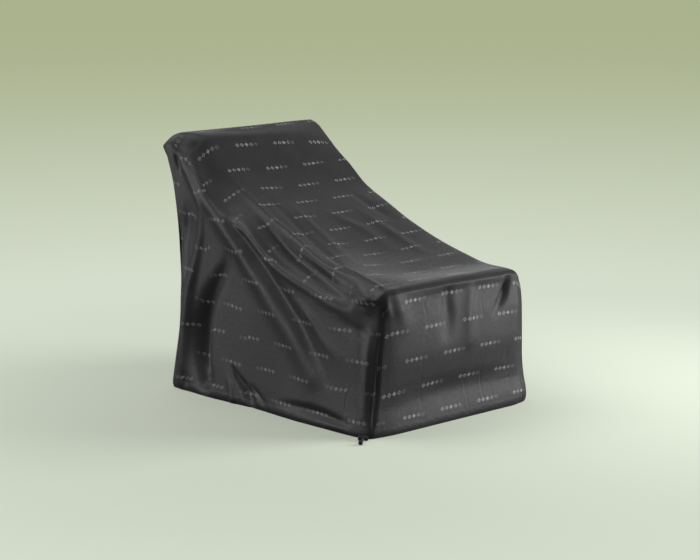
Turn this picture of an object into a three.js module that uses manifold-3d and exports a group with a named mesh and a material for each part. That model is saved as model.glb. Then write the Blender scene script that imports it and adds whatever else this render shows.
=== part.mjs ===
// A fitted outdoor cover for a low sling lounge chair, hanging in its folds over a chair that is left out.
// Millimetres, +Z up, the cover's front towards -Y. The origin lies on the floor under the middle of its box.
// Three cloth panels are sewn edge to edge: one runs from the front hem over seat and back to the rear hem,
// and a side panel closes each side. A drawcord leaves the hem at the front left, with a stop and a knot.

import * as THREE from 'three';
import Module from 'manifold-3d';

// ---- Driving dimensions ----
const CLOTH = 2; // thickness of the coated cloth with its turned seams
const SEAM_GAP = 0.3; // room between two sewn edges
const FRONT_CELLS = 16; // cells up the front, and down the rear
const TOP_CELLS = 34; // cells from the front corner of a side seam to its rear corner
const ACROSS_CELLS = 15;
const TURN_WEIGHT = 70; // how strongly a bend draws cells to itself, in millimetres for each radian
const EDGE_BLEND = 2; // how fast the shape of a side panel's upright seams fades inwards
const SHOULDER = { left: [9, 6], right: [9, 9], below: 40, fade: 0.12, change: [0.2, 0.7] };
const HEM_TURN = { height: 16, depth: 5 }; // the hem turns in under the cover over this height
const FOLD_SOFTNESS = 18; // the half width below which the cells cannot carry a fold
const FOLD_REACH = 4; // how many of its half widths a fold reaches
const FOLD_STEPS = 48;
const BEND_SAMPLES = 400;

const COLOURS = { cloth: '#3a3a3b', cord: '#1c1c1d', stop: '#151516' };

// ---- The centre panel: a row for each section, from the front hem to the rear hem ----
// Each section runs from the left seam over two soft edges to the right seam; mid lies on x = 0.
const SECTIONS = [
  { name: 'front hem', leftSeam: [-312, -440, 0], leftEdge: [-232, -451, 0], mid: [-450, 0],
    rightEdge: [242, -450, 0], rightSeam: [300, -440, 0] },
  { name: 'kick', leftSeam: [-306, -437, 36], leftEdge: [-228, -446, 38], mid: [-445, 37],
    rightEdge: [243, -447, 36], rightSeam: [303, -439, 34] },
  { name: 'trough', leftSeam: [-299, -433, 78], leftEdge: [-222, -440, 84], mid: [-435, 92],
    rightEdge: [243, -437, 88], rightSeam: [302, -432, 80] },
  { name: 'under the face', leftSeam: [-292, -433, 140], leftEdge: [-222, -443, 146], mid: [-445, 150],
    rightEdge: [247, -440, 144], rightSeam: [303, -427, 138] },
  { name: 'face', leftSeam: [-288, -433, 210], leftEdge: [-224, -446, 218], mid: [-450, 222],
    rightEdge: [250, -445, 216], rightSeam: [304, -425, 208] },
  { name: 'upper face', leftSeam: [-279, -434, 285], leftEdge: [-240, -444, 300], mid: [-446, 300],
    rightEdge: [257, -444, 292], rightSeam: [304, -423, 282] },
  { name: 'brow', leftSeam: [-274, -432, 335], leftEdge: [-250, -441, 364], mid: [-438, 368],
    rightEdge: [258, -438, 361], rightSeam: [303, -419, 330] },
  { name: 'under the edge', leftSeam: [-276, -428, 358], leftEdge: [-254, -440, 386], mid: [-441, 388],
    rightEdge: [258, -438, 381], rightSeam: [302, -414, 349] },
  { name: 'front edge', corner: 'front', leftSeam: [-284, -419, 376], leftEdge: [-255, -431, 400],
    mid: [-431, 400], rightEdge: [254, -428, 394], rightSeam: [300, -406, 361] },
  { name: 'lip', leftSeam: [-288, -400, 376], leftEdge: [-255, -411, 404], mid: [-410, 404],
    rightEdge: [251, -406, 398], rightSeam: [299, -388, 365] },
  { name: 'seat', leftSeam: [-293, -333, 372], leftEdge: [-252, -333, 421], mid: [-328, 403],
    rightEdge: [248, -333, 402], rightSeam: [295, -333, 370] },
  { name: 'middle of the seat', leftSeam: [-298, -230, 366], leftEdge: [-246, -230, 440], mid: [-228, 419],
    rightEdge: [250, -230, 423], rightSeam: [298, -230, 392] },
  { name: 'bend', leftSeam: [-299, -118, 394], leftEdge: [-232, -120, 460], mid: [-118, 446],
    rightEdge: [252, -120, 453], rightSeam: [299, -120, 424] },
  { name: 'lower back', leftSeam: [-300, -8, 443], leftEdge: [-206, -8, 492], mid: [-8, 487],
    rightEdge: [254, -8, 493], rightSeam: [300, -8, 466] },
  { name: 'back', leftSeam: [-298, 102, 512], leftEdge: [-190, 104, 540], mid: [102, 534],
    rightEdge: [268, 104, 538], rightSeam: [303, 104, 514] },
  { name: 'upper back', leftSeam: [-298, 202, 544], leftEdge: [-178, 204, 586], mid: [202, 577],
    rightEdge: [286, 204, 577], rightSeam: [308, 208, 552] },
  { name: 'neck', leftSeam: [-297, 282, 604], leftEdge: [-180, 284, 641], mid: [282, 632],
    rightEdge: [290, 284, 636], rightSeam: [310, 290, 606] },
  { name: 'under the top', leftSeam: [-291, 338, 664], leftEdge: [-190, 340, 709], mid: [337, 705],
    rightEdge: [290, 344, 680], rightSeam: [308, 354, 654] },
  { name: 'front of the top', leftSeam: [-289, 372, 692], leftEdge: [-206, 366, 747], mid: [357, 739],
    rightEdge: [286, 388, 721], rightSeam: [304, 396, 694] },
  { name: 'top', leftSeam: [-290, 402, 712], leftEdge: [-236, 400, 757], mid: [387, 751],
    rightEdge: [284, 420, 747], rightSeam: [301, 422, 716] },
  { name: 'rear edge', leftSeam: [-298, 438, 732], leftEdge: [-264, 432, 760], mid: [420, 761],
    rightEdge: [278, 444, 758], rightSeam: [300, 442, 732] },
  { name: 'rear turn', corner: 'rear', leftSeam: [-302, 458, 722], leftEdge: [-266, 453, 748],
    mid: [440, 750], rightEdge: [270, 452, 744], rightSeam: [299, 450, 718] },
  { name: 'upper rear', leftSeam: [-296, 447, 690], leftEdge: [-255, 452, 712], mid: [446, 715],
    rightEdge: [262, 448, 712], rightSeam: [296, 444, 688] },
  { name: 'rear', leftSeam: [-288, 424, 590], leftEdge: [-245, 434, 598], mid: [434, 600],
    rightEdge: [250, 434, 598], rightSeam: [290, 426, 590] },
  { name: 'middle of the rear', leftSeam: [-282, 406, 400], leftEdge: [-240, 420, 400], mid: [422, 400],
    rightEdge: [245, 420, 400], rightSeam: [286, 412, 400] },
  { name: 'lower rear', leftSeam: [-284, 394, 200], leftEdge: [-240, 420, 200], mid: [424, 200],
    rightEdge: [240, 420, 200], rightSeam: [286, 412, 200] },
  { name: 'above the rear hem', leftSeam: [-289, 416, 80], leftEdge: [-240, 430, 80], mid: [432, 80],
    rightEdge: [240, 430, 80], rightSeam: [290, 422, 80] },
  { name: 'rear hem', leftSeam: [-292, 434, 0], leftEdge: [-240, 440, 0], mid: [442, 0],
    rightEdge: [240, 440, 0], rightSeam: [294, 436, 0] },
];

// ---- The hem of each side on the floor, from the front seam to the rear seam ----
const SIDE_HEMS = {
  left: [
    { x: -312, y: -440 }, { x: -324, y: -432 }, { x: -331, y: -412 }, { x: -335, y: -380 },
    { x: -336, y: -335 }, { x: -335, y: -250 }, { x: -334, y: -160 }, { x: -329, y: -80 },
    { x: -320, y: 41 }, { x: -324, y: 179 }, { x: -326, y: 249 }, { x: -320, y: 330 },
    { x: -317, y: 395 }, { x: -309, y: 424 }, { x: -292, y: 434 },
  ],
  right: [
    { x: 300, y: -440 }, { x: 320, y: -431 }, { x: 335, y: -410 }, { x: 341, y: -374 },
    { x: 338, y: -300 }, { x: 328, y: -190 }, { x: 326, y: -60 }, { x: 331, y: 70 }, { x: 325, y: 200 },
    { x: 327, y: 300 }, { x: 323, y: 380 }, { x: 313, y: 422 }, { x: 294, y: 436 },
  ],
};

// ---- Soft folds: a row for each, with its path over the cloth and its half widths and heights along it ----
// Widths and heights are spread evenly from the path's start to its end. Height is outwards.
const FOLDS = [
  { name: 'corner ridge', path: [[-291, 377, 668], [-291, 334, 617], [-292, 298, 561], [-290, 297, 494],
      [-289, 313, 429], [-292, 333, 365], [-295, 353, 301], [-299, 360, 234], [-303, 366, 167],
      [-309, 372, 101], [-315, 377, 34]], widths: [14, 19, 28], heights: [4, 9, 10, 13, 14, 14, 14, 10] },
  { name: 'turned rear', path: [[-287, 370, 568], [-290, 370, 419]],
    widths: [18, 24], heights: [0, -4, 0] },
  { name: 'upright hollow', path: [[-299, 178, 455], [-298, 186, 402], [-299, 215, 356], [-300, 248, 312],
      [-301, 275, 265], [-302, 287, 213], [-306, 286, 159], [-313, 280, 105], [-320, 263, 54]],
    widths: [14, 28, 28], heights: [0, -7, -16, -19, -19, -19, -19, -19] },
  { name: 'drape swell', path: [[-293, 330, 638], [-296, 291, 592], [-300, 241, 558], [-301, 197, 515],
      [-301, 152, 474], [-299, 107, 434], [-299, 65, 390], [-301, 20, 349], [-304, -24, 308],
      [-307, -71, 269], [-310, -116, 229], [-313, -158, 185], [-316, -199, 140]],
    widths: [24, 26, 34, 40], heights: [3, 9, 10, 9, 6] },
  { name: 'deep drape', path: [[-291, 190, 541], [-302, 122, 491], [-301, 56, 437], [-303, -11, 383],
      [-305, -75, 327], [-308, -138, 270], [-311, -194, 206], [-315, -251, 142]],
    widths: [17, 24], heights: [0, -14, -18, -16, -13, -11, -8, -2] },
  { name: 'drape ridge', path: [[-305, -110, 349], [-305, -180, 298], [-308, -243, 239],
      [-310, -314, 189]], widths: [14, 18], heights: [0, 5, 4, 0] },
  { name: 'seam ridge', path: [[-273, 149, 537], [-297, 71, 494], [-301, -4, 441], [-300, -88, 403],
      [-298, -176, 375], [-300, -264, 348], [-296, -354, 329]],
    widths: [14, 16], heights: [0, 8, 9, 7, 0] },
  { name: 'valley over the seam', path: [[-224, 127, 546], [-234, 61, 516], [-242, -4, 483],
      [-255, -70, 456], [-266, -138, 432], [-276, -207, 408], [-287, -275, 385], [-295, -341, 355]],
    widths: [17, 20, 18], heights: [0, -7, -13, -19, -19, -19, -19, -19, -14, 0] },
  { name: 'slope ridge', path: [[-221, 314, 677], [-199, 270, 632], [-193, 215, 594], [-196, 156, 563],
      [-207, 95, 537], [-206, 34, 509], [-215, -28, 485], [-231, -90, 465], [-251, -151, 447],
      [-265, -214, 426], [-277, -275, 402]], widths: [14, 13], heights: [0, 4, 7, 8, 7, 0] },
  { name: 'slope hollow', path: [[-126, 219, 597], [-133, 129, 552], [-145, 38, 513], [-166, -53, 478],
      [-195, -147, 454], [-235, -237, 439], [-269, -326, 408]],
    widths: [13], heights: [0, -3, -5, -6, -6, -5, 0] },
  { name: 'rail hollow', path: [[-256, -209, 435], [-276, -283, 403], [-292, -354, 365]],
    widths: [14, 18], heights: [0, -4, -6, 0] },
  { name: 'rail ridge', path: [[-222, -157, 453], [-233, -279, 432], [-249, -399, 407]],
    widths: [11, 9], heights: [0, 4, 2] },
  { name: 'corner swell', path: [[-266, -311, 414], [-273, -341, 402], [-281, -368, 386],
      [-288, -389, 362], [-289, -385, 330]], widths: [16, 20], heights: [0, 5, 7, 0] },
  { name: 'hollow under the corner', path: [[-302, -281, 311], [-301, -323, 296], [-298, -366, 285],
      [-289, -409, 289]], widths: [16, 20], heights: [0, -4, -5, 0] },
  { name: 'side of the corner seam', path: [[-275, -437, 347], [-283, -437, 270], [-293, -436, 193],
      [-299, -436, 116], [-312, -440, 40]], widths: [6, 7], heights: [-3, -6, -5] },
  { name: 'side of the front corner', path: [[-287, -403, 316], [-298, -403, 232], [-307, -404, 148],
      [-319, -409, 64]], widths: [13, 15], heights: [0, 5, 6, 2] },
  { name: 'skirt valley', path: [[-323, -56, 38], [-329, -215, 41], [-330, -373, 28]],
    widths: [10, 13, 10], heights: [0, -5, -9, -8, 0] },
  { name: 'skirt ridge', path: [[-332, -272, 15], [-332, -316, 16], [-331, -359, 12]],
    widths: [7, 8], heights: [0, 4, 0] },
  { name: 'hem dart', path: [[-314, 148, 114], [-316, 118, 80], [-317, 84, 52], [-317, 54, 18]],
    widths: [5, 16], heights: [0, -8, -12, -15, -8] },
  { name: 'dart ridge', path: [[-317, 168, 87], [-319, 146, 51], [-319, 135, 10]],
    widths: [8, 12], heights: [0, 6] },
  { name: 'second hem dart', path: [[-315, 64, 69], [-319, -1, 25]],
    widths: [5, 9], heights: [0, -5, -3] },
  { name: 'pocket fold', path: [[-310, 311, 111], [-322, 248, 45]],
    widths: [6, 7], heights: [0, 4, 5, 0] },
  { name: 'rear corner pocket', path: [[-312, 365, 72], [-315, 352, 26]],
    widths: [14, 16], heights: [0, -7] },
  { name: 'facet hollow', path: [[-253, 366, 725], [-254, 322, 674], [-250, 275, 624], [-254, 224, 580]],
    widths: [16, 22, 22], heights: [-4, -4, 0] },
  { name: 'top corner pocket', path: [[-295, 409, 690], [-292, 399, 661]],
    widths: [7, 8], heights: [-7, -5] },
  { name: 'left corner swell', path: [[-269, -434, 389], [-264, -444, 356], [-256, -448, 323]],
    widths: [11, 12], heights: [3, 5, 0] },
  { name: 'slope crest', path: [[-69, 169, 567], [-88, 64, 523], [-106, -42, 480], [-139, -149, 449],
      [-184, -254, 432]], widths: [14, 16], heights: [0, 4, 4, 0] },
  { name: 'right slope ridge', path: [[134, 107, 541], [141, -52, 476], [136, -216, 426]],
    widths: [18, 20], heights: [0, 5, 0] },
  { name: 'right slope hollow', path: [[194, 191, 575], [198, 84, 533], [208, -22, 490]],
    widths: [16, 18], heights: [0, -5, 0] },
  { name: 'middle slope ridge', path: [[19, 115, 543], [36, 49, 514], [63, -14, 488], [63, -82, 463],
      [50, -151, 440]], widths: [20, 22], heights: [0, 4, 3, 0] },
  { name: 'left front swell', path: [[-229, -448, 386], [-202, -452, 300]],
    widths: [20, 26], heights: [5, 8, 3] },
  { name: 'middle front hollow', path: [[-27, -446, 364], [-28, -452, 312], [-36, -457, 260]],
    widths: [18, 24], heights: [-6, -9, -7, -4] },
  { name: 'right front swell', path: [[67, -447, 358], [55, -454, 292], [53, -458, 224]],
    widths: [20, 24], heights: [4, 6, 3] },
  { name: 'corner pocket', path: [[225, -447, 380], [210, -448, 340], [182, -452, 307], [151, -454, 278]],
    widths: [9, 17], heights: [-5, -13, -13, -8, -4, 0] },
  { name: 'right corner ridge', path: [[309, 392, 650], [311, 331, 563], [308, 317, 459], [307, 328, 354],
      [309, 350, 250]], widths: [20, 36], heights: [4, 9, 10, 7, 3] },
  { name: 'right deep drape', path: [[315, 270, 580], [315, 155, 475], [310, 45, 365], [312, -60, 250]],
    widths: [18, 38], heights: [0, -10, -13, 0] },
  { name: 'right drape ridge', path: [[314, 330, 610], [314, 241, 502], [311, 170, 381], [316, 120, 250]],
    widths: [18, 32], heights: [0, 7, 8, 0] },
  { name: 'right upright hollow', path: [[310, 262, 380], [315, 236, 191], [322, 240, 0]],
    widths: [20, 32], heights: [0, -10, -16] },
  { name: 'right upright ridge', path: [[315, 90, 260], [322, 71, 131], [327, 76, 0]],
    widths: [20, 28], heights: [0, 9] },
  { name: 'right hem dart', path: [[320, 10, 130], [323, -36, 0]], widths: [7, 22], heights: [0, -13] },
  { name: 'right front drape', path: [[309, -300, 350], [321, -246, 179], [328, -235, 0]],
    widths: [20, 34], heights: [0, 6, 9] },
  { name: 'right front hollow', path: [[310, -350, 330], [323, -335, 165], [337, -330, 0]],
    widths: [16, 28], heights: [0, -6, -9] },
  { name: 'right low diagonal', path: [[310, -60, 300], [316, -154, 199], [325, -200, 70]],
    widths: [24, 30], heights: [0, -6, 0] },
  { name: 'rear left hollow', path: [[-130, 289, 640], [-147, 398, 444], [-148, 438, 225],
      [-140, 437, 0]], widths: [30, 44], heights: [0, -9, -13] },
  { name: 'rear middle swell', path: [[-20, 431, 560], [-30, 422, 280], [-10, 437, 0]],
    widths: [34, 48], heights: [0, 10] },
  { name: 'rear right hollow', path: [[120, 329, 680], [139, 412, 463], [130, 436, 232], [110, 437, 0]],
    widths: [26, 42], heights: [0, -9, -12] },
  { name: 'rear right swell', path: [[215, 428, 520], [205, 421, 260], [220, 436, 0]],
    widths: [20, 32], heights: [0, 8] },
];

// ---- The drawcord's free end, the cord stop and the knot, lying on the floor by the front left corner ----
const STRAND = { diameter: 3, sides: 8, spacing: 3.6, step: 8 };
const STRAND_ROUTE = [
  [-327.8, -414.8, 8.2], [-338, -425, 7.6], [-343, -430, 7.2],
  [-352, -439, 7.1], [-363, -447.5, 7], [-374, -455, 6.8],
];
const STOP = { length: 28, diameter: 14, waist: 11.5, at: [-343, -430], slot: [9.2, 4.6] };
// The stop's turned outline from its middle to an end: each stop's radius and distance from the middle.
const STOP_PROFILE = [
  { radius: STOP.waist / 2, along: 4 }, { radius: STOP.diameter / 2, along: 7 },
  { radius: STOP.diameter / 2, along: 11 }, { radius: STOP.diameter * 0.46, along: 12.8 },
  { radius: STOP.diameter * 0.32, along: STOP.length / 2 }, { radius: 0, along: STOP.length / 2 },
];
const KNOT = { diameter: 13.2, height: 12.6 };
const FLOOR_GAP = 0.2;
const KNOT_GAP = 0.4;

// ---- Smooth tracks ----

// A smooth value through rows: cubic between them, flat at a peak or dip, so that it never overshoots.
function track(at, values) {
  const last = values.length - 1;
  const rate = values.slice(1).map((value, i) => (value - values[i]) / (at[i + 1] - at[i]));
  const slope = values.map((_, i) => {
    if (i === 0) return rate[0];
    if (i === last) return rate[last - 1];
    const product = rate[i - 1] * rate[i];
    return product > 0 ? (2 * product) / (rate[i - 1] + rate[i]) : 0;
  });
  return (t) => {
    let i = 0;
    while (i < last - 1 && t > at[i + 1]) i += 1;
    const span = at[i + 1] - at[i];
    const f = (t - at[i]) / span;
    const g = 1 - f;
    return values[i] * (1 + 2 * f) * g * g + values[i + 1] * (3 - 2 * f) * f * f
      + span * f * g * (slope[i] * g - slope[i + 1] * f);
  };
}

// A smooth track of points through a list of points, over the distance along them.
function pointTrack(points, at) {
  const axes = ['x', 'y', 'z'].map((axis) => track(at, points.map((point) => point[axis])));
  return (t) => new THREE.Vector3(...axes.map((value) => value(t)));
}

function distancesAlong(points) {
  const at = [0];
  points.slice(1).forEach((point, i) => at.push(at[i] + point.distanceTo(points[i])));
  return at;
}

// Stops along a track that lie closer together where it bends.
function evenStops(trackAt, from, to, cells) {
  const stops = Array.from({ length: BEND_SAMPLES + 1 }, (_, i) => from + ((to - from) * i) / BEND_SAMPLES);
  const points = stops.map(trackAt);
  const load = [0];
  for (let i = 1; i <= BEND_SAMPLES; i += 1) {
    const step = points[i].clone().sub(points[i - 1]);
    const before = i > 1 ? points[i - 1].clone().sub(points[i - 2]) : step;
    load.push(load[i - 1] + step.length() + TURN_WEIGHT * step.angleTo(before));
  }
  return Array.from({ length: cells + 1 }, (_, cell) => {
    const want = (load[BEND_SAMPLES] * cell) / cells;
    let i = 1;
    while (i < BEND_SAMPLES && load[i] < want) i += 1;
    const f = (want - load[i - 1]) / (load[i] - load[i - 1]);
    return stops[i - 1] + (stops[i] - stops[i - 1]) * Math.min(1, Math.max(0, f));
  });
}

const smooth = (low, high, value) => THREE.MathUtils.smoothstep(value, low, high);
const vector = (point) => new THREE.Vector3(...point);

// ---- Fold relief ----

// A fold with the stops of its path, and the box in which it can reach the cloth.
function laidFold(fold) {
  const curve = new THREE.CatmullRomCurve3(fold.path.map(vector), false, 'centripetal');
  const stops = Array.from({ length: FOLD_STEPS + 1 }, (_, i) => curve.getPoint(i / FOLD_STEPS));
  const reach = FOLD_REACH * Math.max(...fold.widths) + FOLD_SOFTNESS;
  return { ...fold, stops, box: new THREE.Box3().setFromPoints(stops).expandByScalar(reach) };
}

const LAID_FOLDS = FOLDS.map(laidFold);

// A value at a share of the way through a list of evenly spread values.
function spreadValue(values, share) {
  const place = share * (values.length - 1);
  const i = Math.min(Math.floor(place), values.length - 2);
  return values.length === 1 ? values[0] : THREE.MathUtils.lerp(values[i], values[i + 1], place - i);
}

// How far one fold pushes the cloth outwards, by the distance to its path measured along the cloth.
// A fold narrower than the cells can carry is widened and lowered to suit them.
function foldPush(fold, point, normal) {
  if (!fold.box.containsPoint(point)) return 0;
  let nearest = Infinity;
  let away = 0;
  let share = 0;
  for (let i = 0; i < FOLD_STEPS; i += 1) {
    const run = fold.stops[i + 1].clone().sub(fold.stops[i]);
    const off = point.clone().sub(fold.stops[i]);
    const part = THREE.MathUtils.clamp(off.dot(run) / run.lengthSq(), 0, 1);
    off.addScaledVector(run, -part);
    if (off.lengthSq() < nearest) {
      nearest = off.lengthSq();
      away = Math.max(nearest - off.dot(normal) ** 2, 0);
      share = (i + part) / FOLD_STEPS;
    }
  }
  const width = spreadValue(fold.widths, share);
  const softened = Math.hypot(width, FOLD_SOFTNESS);
  return spreadValue(fold.heights, share) * (width / softened) * Math.exp(-away / softened ** 2);
}

// How far a place on the cover is pushed outwards by the folds and by the hem's turn.
function relief(point, normal) {
  const low = THREE.MathUtils.clamp(1 - point.z / HEM_TURN.height, 0, 1);
  return LAID_FOLDS.reduce((sum, fold) => sum + foldPush(fold, point, normal), -HEM_TURN.depth * low ** 2);
}

// ---- Panels as grids of points ----

const RAILS = {
  leftSeam: SECTIONS.map((row) => vector(row.leftSeam)),
  leftEdge: SECTIONS.map((row) => vector(row.leftEdge)),
  mid: SECTIONS.map((row) => vector([0, ...row.mid])),
  rightEdge: SECTIONS.map((row) => vector(row.rightEdge)),
  rightSeam: SECTIONS.map((row) => vector(row.rightSeam)),
};
const ALONG = distancesAlong(RAILS.mid);
const RAIL_TRACKS = Object.values(RAILS).map((points) => pointTrack(points, ALONG));
const CORNERS = ['front', 'rear'].map((name) => ALONG[SECTIONS.findIndex((row) => row.corner === name)]);

function centreStops() {
  const [front, rear] = CORNERS;
  const mid = RAIL_TRACKS[2];
  return [
    ...evenStops(mid, 0, front, FRONT_CELLS),
    ...evenStops(mid, front, rear, TOP_CELLS).slice(1),
    ...evenStops(mid, rear, ALONG.at(-1), FRONT_CELLS).slice(1),
  ];
}

// Rows run from the front hem to the rear hem, columns from the left seam to the right.
function centreGrid() {
  return centreStops().map((stop) => {
    const rails = RAIL_TRACKS.map((rail) => rail(stop));
    const across = distancesAlong(rails);
    const section = pointTrack(rails, across);
    return evenStops(section, 0, across.at(-1), ACROSS_CELLS).map(section);
  });
}

// Rows run from the hem up to the seam, columns from front to rear; the seam's points are the centre panel's.
function sideGrid(side, centre) {
  const column = side === 'left' ? 0 : ACROSS_CELLS;
  const seam = centre.map((row) => row[column]);
  const front = seam.slice(0, FRONT_CELLS + 1);
  const top = seam.slice(FRONT_CELLS, FRONT_CELLS + TOP_CELLS + 1);
  const rear = seam.slice(FRONT_CELLS + TOP_CELLS).reverse();
  const hemPoints = SIDE_HEMS[side].map(({ x, y }) => new THREE.Vector3(x, y, 0));
  const hemAt = distancesAlong(hemPoints);
  const hemTrack = pointTrack(hemPoints, hemAt);
  const hem = evenStops(hemTrack, 0, hemAt.at(-1), TOP_CELLS).map(hemTrack);
  return front.map((frontPoint, q) => top.map((topPoint, p) => {
    const back = p / TOP_CELLS;
    const riseFront = frontPoint.z / front.at(-1).z;
    const riseRear = rear[q].z / rear.at(-1).z;
    const rise = riseFront * (1 - back) + riseRear * back;
    const frontShape = frontPoint.clone().sub(front[0].clone().lerp(front.at(-1), riseFront));
    const rearShape = rear[q].clone().sub(rear[0].clone().lerp(rear.at(-1), riseRear));
    const below = ((1 - rise) * topPoint.z) / SHOULDER.below;
    const most = THREE.MathUtils.lerp(...SHOULDER[side], smooth(...SHOULDER.change, back));
    const inside = smooth(0, SHOULDER.fade, back) * smooth(0, SHOULDER.fade, 1 - back);
    const swell = most * inside * below * Math.exp(1 - below);
    return hem[p].clone().lerp(topPoint, rise)
      .addScaledVector(frontShape, (1 - back) ** EDGE_BLEND)
      .addScaledVector(rearShape, back ** EDGE_BLEND)
      .add(new THREE.Vector3(side === 'left' ? -swell : swell, 0, 0));
  }));
}

// Outward normals of a grid; turn is 1 where rows cross columns outwards, and -1 where they do so inwards.
function gridNormals(grid, turn) {
  const rows = grid.length - 1;
  const columns = grid[0].length - 1;
  return grid.map((row, i) => row.map((_, j) => {
    const up = grid[Math.min(i + 1, rows)][j].clone().sub(grid[Math.max(i - 1, 0)][j]);
    const along = grid[i][Math.min(j + 1, columns)].clone().sub(grid[i][Math.max(j - 1, 0)]);
    return up.cross(along).multiplyScalar(turn).normalize();
  }));
}

// The places where the centre panel and a side panel are sewn together.
function seamPairs(column) {
  return Array.from({ length: 2 * FRONT_CELLS + TOP_CELLS + 1 }, (_, row) => {
    const p = THREE.MathUtils.clamp(row - FRONT_CELLS, 0, TOP_CELLS);
    const q = Math.min(row, FRONT_CELLS, 2 * FRONT_CELLS + TOP_CELLS - row);
    return { centre: [row, column], side: [q, p] };
  });
}

// Gives both panels the same normal along their seam.
function shareSeamNormals(centre, side, column) {
  seamPairs(column).forEach((pair) => {
    const here = centre[pair.centre[0]][pair.centre[1]];
    const there = side[pair.side[0]][pair.side[1]];
    here.add(there).normalize();
    there.copy(here);
  });
}

function flattenHemNormals(grid, normals) {
  grid.forEach((row, i) => row.forEach((point, j) => {
    if (point.z < 1e-6) normals[i][j].setZ(0).normalize();
  }));
}

function panelNormals(grids) {
  const normals = {
    centre: gridNormals(grids.centre, -1),
    left: gridNormals(grids.left, 1),
    right: gridNormals(grids.right, -1),
  };
  shareSeamNormals(normals.centre, normals.left, 0);
  shareSeamNormals(normals.centre, normals.right, ACROSS_CELLS);
  Object.keys(grids).forEach((name) => flattenHemNormals(grids[name], normals[name]));
  return normals;
}

// Pushes every point of the panels out or in by the folds. The hem stays on the floor.
function foldPanels(grids) {
  const normals = panelNormals(grids);
  const fold = (name) => grids[name].map((row, i) => row.map((point, j) => {
    const push = relief(point, normals[name][i][j]);
    return point.clone().addScaledVector(normals[name][i][j], push);
  }));
  return { centre: fold('centre'), left: fold('left'), right: fold('right') };
}

// Draws a sewn edge back from the seam's middle by half the gap.
function drawBack(grid, rowsSewn, columnsSewn) {
  const rows = grid.length - 1;
  const columns = grid[0].length - 1;
  return grid.map((row, i) => row.map((point, j) => {
    const moved = point.clone();
    const towards = (other) => moved.addScaledVector(other.clone().sub(point).normalize(), SEAM_GAP / 2);
    if (columnsSewn && j === 0) towards(grid[i][1]);
    if (columnsSewn && j === columns) towards(grid[i][columns - 1]);
    if (rowsSewn && i === rows) towards(grid[rows - 1][j]);
    return moved.setZ(Math.max(moved.z, 0));
  }));
}

// A closed sheet of the cloth's thickness on both sides of a grid.
function sheetGeometry(grid, normals, turn) {
  const rows = grid.length;
  const columns = grid[0].length;
  const positions = [];
  const layer = (offset) => grid.forEach((row, i) => row.forEach((point, j) => {
    positions.push(...point.clone().addScaledVector(normals[i][j], offset).toArray());
  }));
  layer(CLOTH / 2);
  layer(-CLOTH / 2);
  const outer = (i, j) => i * columns + j;
  const inner = (i, j) => rows * columns + outer(i, j);
  const triangles = [];
  const quad = (a, b, c, d) => triangles.push(...(turn > 0 ? [a, b, c, a, c, d] : [a, c, b, a, d, c]));
  for (let i = 0; i < rows - 1; i += 1) {
    for (let j = 0; j < columns - 1; j += 1) {
      quad(outer(i, j), outer(i + 1, j), outer(i + 1, j + 1), outer(i, j + 1));
      quad(inner(i, j), inner(i, j + 1), inner(i + 1, j + 1), inner(i + 1, j));
    }
    quad(outer(i, 0), inner(i, 0), inner(i + 1, 0), outer(i + 1, 0));
    quad(outer(i + 1, columns - 1), inner(i + 1, columns - 1), inner(i, columns - 1), outer(i, columns - 1));
  }
  for (let j = 0; j < columns - 1; j += 1) {
    quad(outer(0, j + 1), inner(0, j + 1), inner(0, j), outer(0, j));
    quad(outer(rows - 1, j), inner(rows - 1, j), inner(rows - 1, j + 1), outer(rows - 1, j + 1));
  }
  const geometry = new THREE.BufferGeometry();
  geometry.setAttribute('position', new THREE.Float32BufferAttribute(positions, 3));
  geometry.setIndex(triangles);
  geometry.computeVertexNormals();
  return geometry;
}

function coverPanels() {
  const centre = centreGrid();
  const folded = foldPanels({ centre, left: sideGrid('left', centre), right: sideGrid('right', centre) });
  const normals = panelNormals(folded);
  return {
    centre_panel: sheetGeometry(drawBack(folded.centre, false, true), normals.centre, -1),
    left_side_panel: sheetGeometry(drawBack(folded.left, true, true), normals.left, 1),
    right_side_panel: sheetGeometry(drawBack(folded.right, true, true), normals.right, -1),
  };
}

// ---- The drawcord end ----

// One strand of the drawcord, beside the other by half their spacing.
function strandGeometry(hand) {
  const route = STRAND_ROUTE.map(vector);
  const last = route.length - 1;
  const beside = route.map((point, i) => {
    const heading = route[Math.min(i + 1, last)].clone().sub(route[Math.max(i - 1, 0)]).setZ(0).normalize();
    const aside = new THREE.Vector3(-heading.y, heading.x, 0);
    return point.clone().addScaledVector(aside, (hand * STRAND.spacing) / 2);
  });
  const curve = new THREE.CatmullRomCurve3(beside, false, 'centripetal');
  const section = new THREE.Shape(Array.from({ length: STRAND.sides }, (_, i) => {
    const angle = (2 * Math.PI * (i + 0.5)) / STRAND.sides;
    return new THREE.Vector2(Math.cos(angle), Math.sin(angle)).multiplyScalar(STRAND.diameter / 2);
  }));
  const steps = Math.round(curve.getLength() / STRAND.step);
  return new THREE.ExtrudeGeometry(section, { extrudePath: curve, steps });
}

async function solidTools() {
  const wasm = await Module();
  wasm.setup();
  const toSolid = (geometry) => {
    const bare = geometry.index ? geometry.toNonIndexed() : geometry;
    const points = bare.getAttribute('position').array;
    const mesh = new wasm.Mesh({
      numProp: 3,
      vertProperties: new Float32Array(points),
      triVerts: Uint32Array.from({ length: points.length / 3 }, (_, i) => i),
    });
    mesh.merge();
    return new wasm.Manifold(mesh);
  };
  const toGeometry = (solid) => {
    const mesh = solid.getMesh();
    const geometry = new THREE.BufferGeometry();
    geometry.setAttribute('position', new THREE.Float32BufferAttribute(mesh.vertProperties, 3));
    geometry.setIndex(new THREE.Uint32BufferAttribute(mesh.triVerts, 1));
    geometry.computeVertexNormals();
    return geometry;
  };
  return { toSolid, toGeometry };
}

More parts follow.
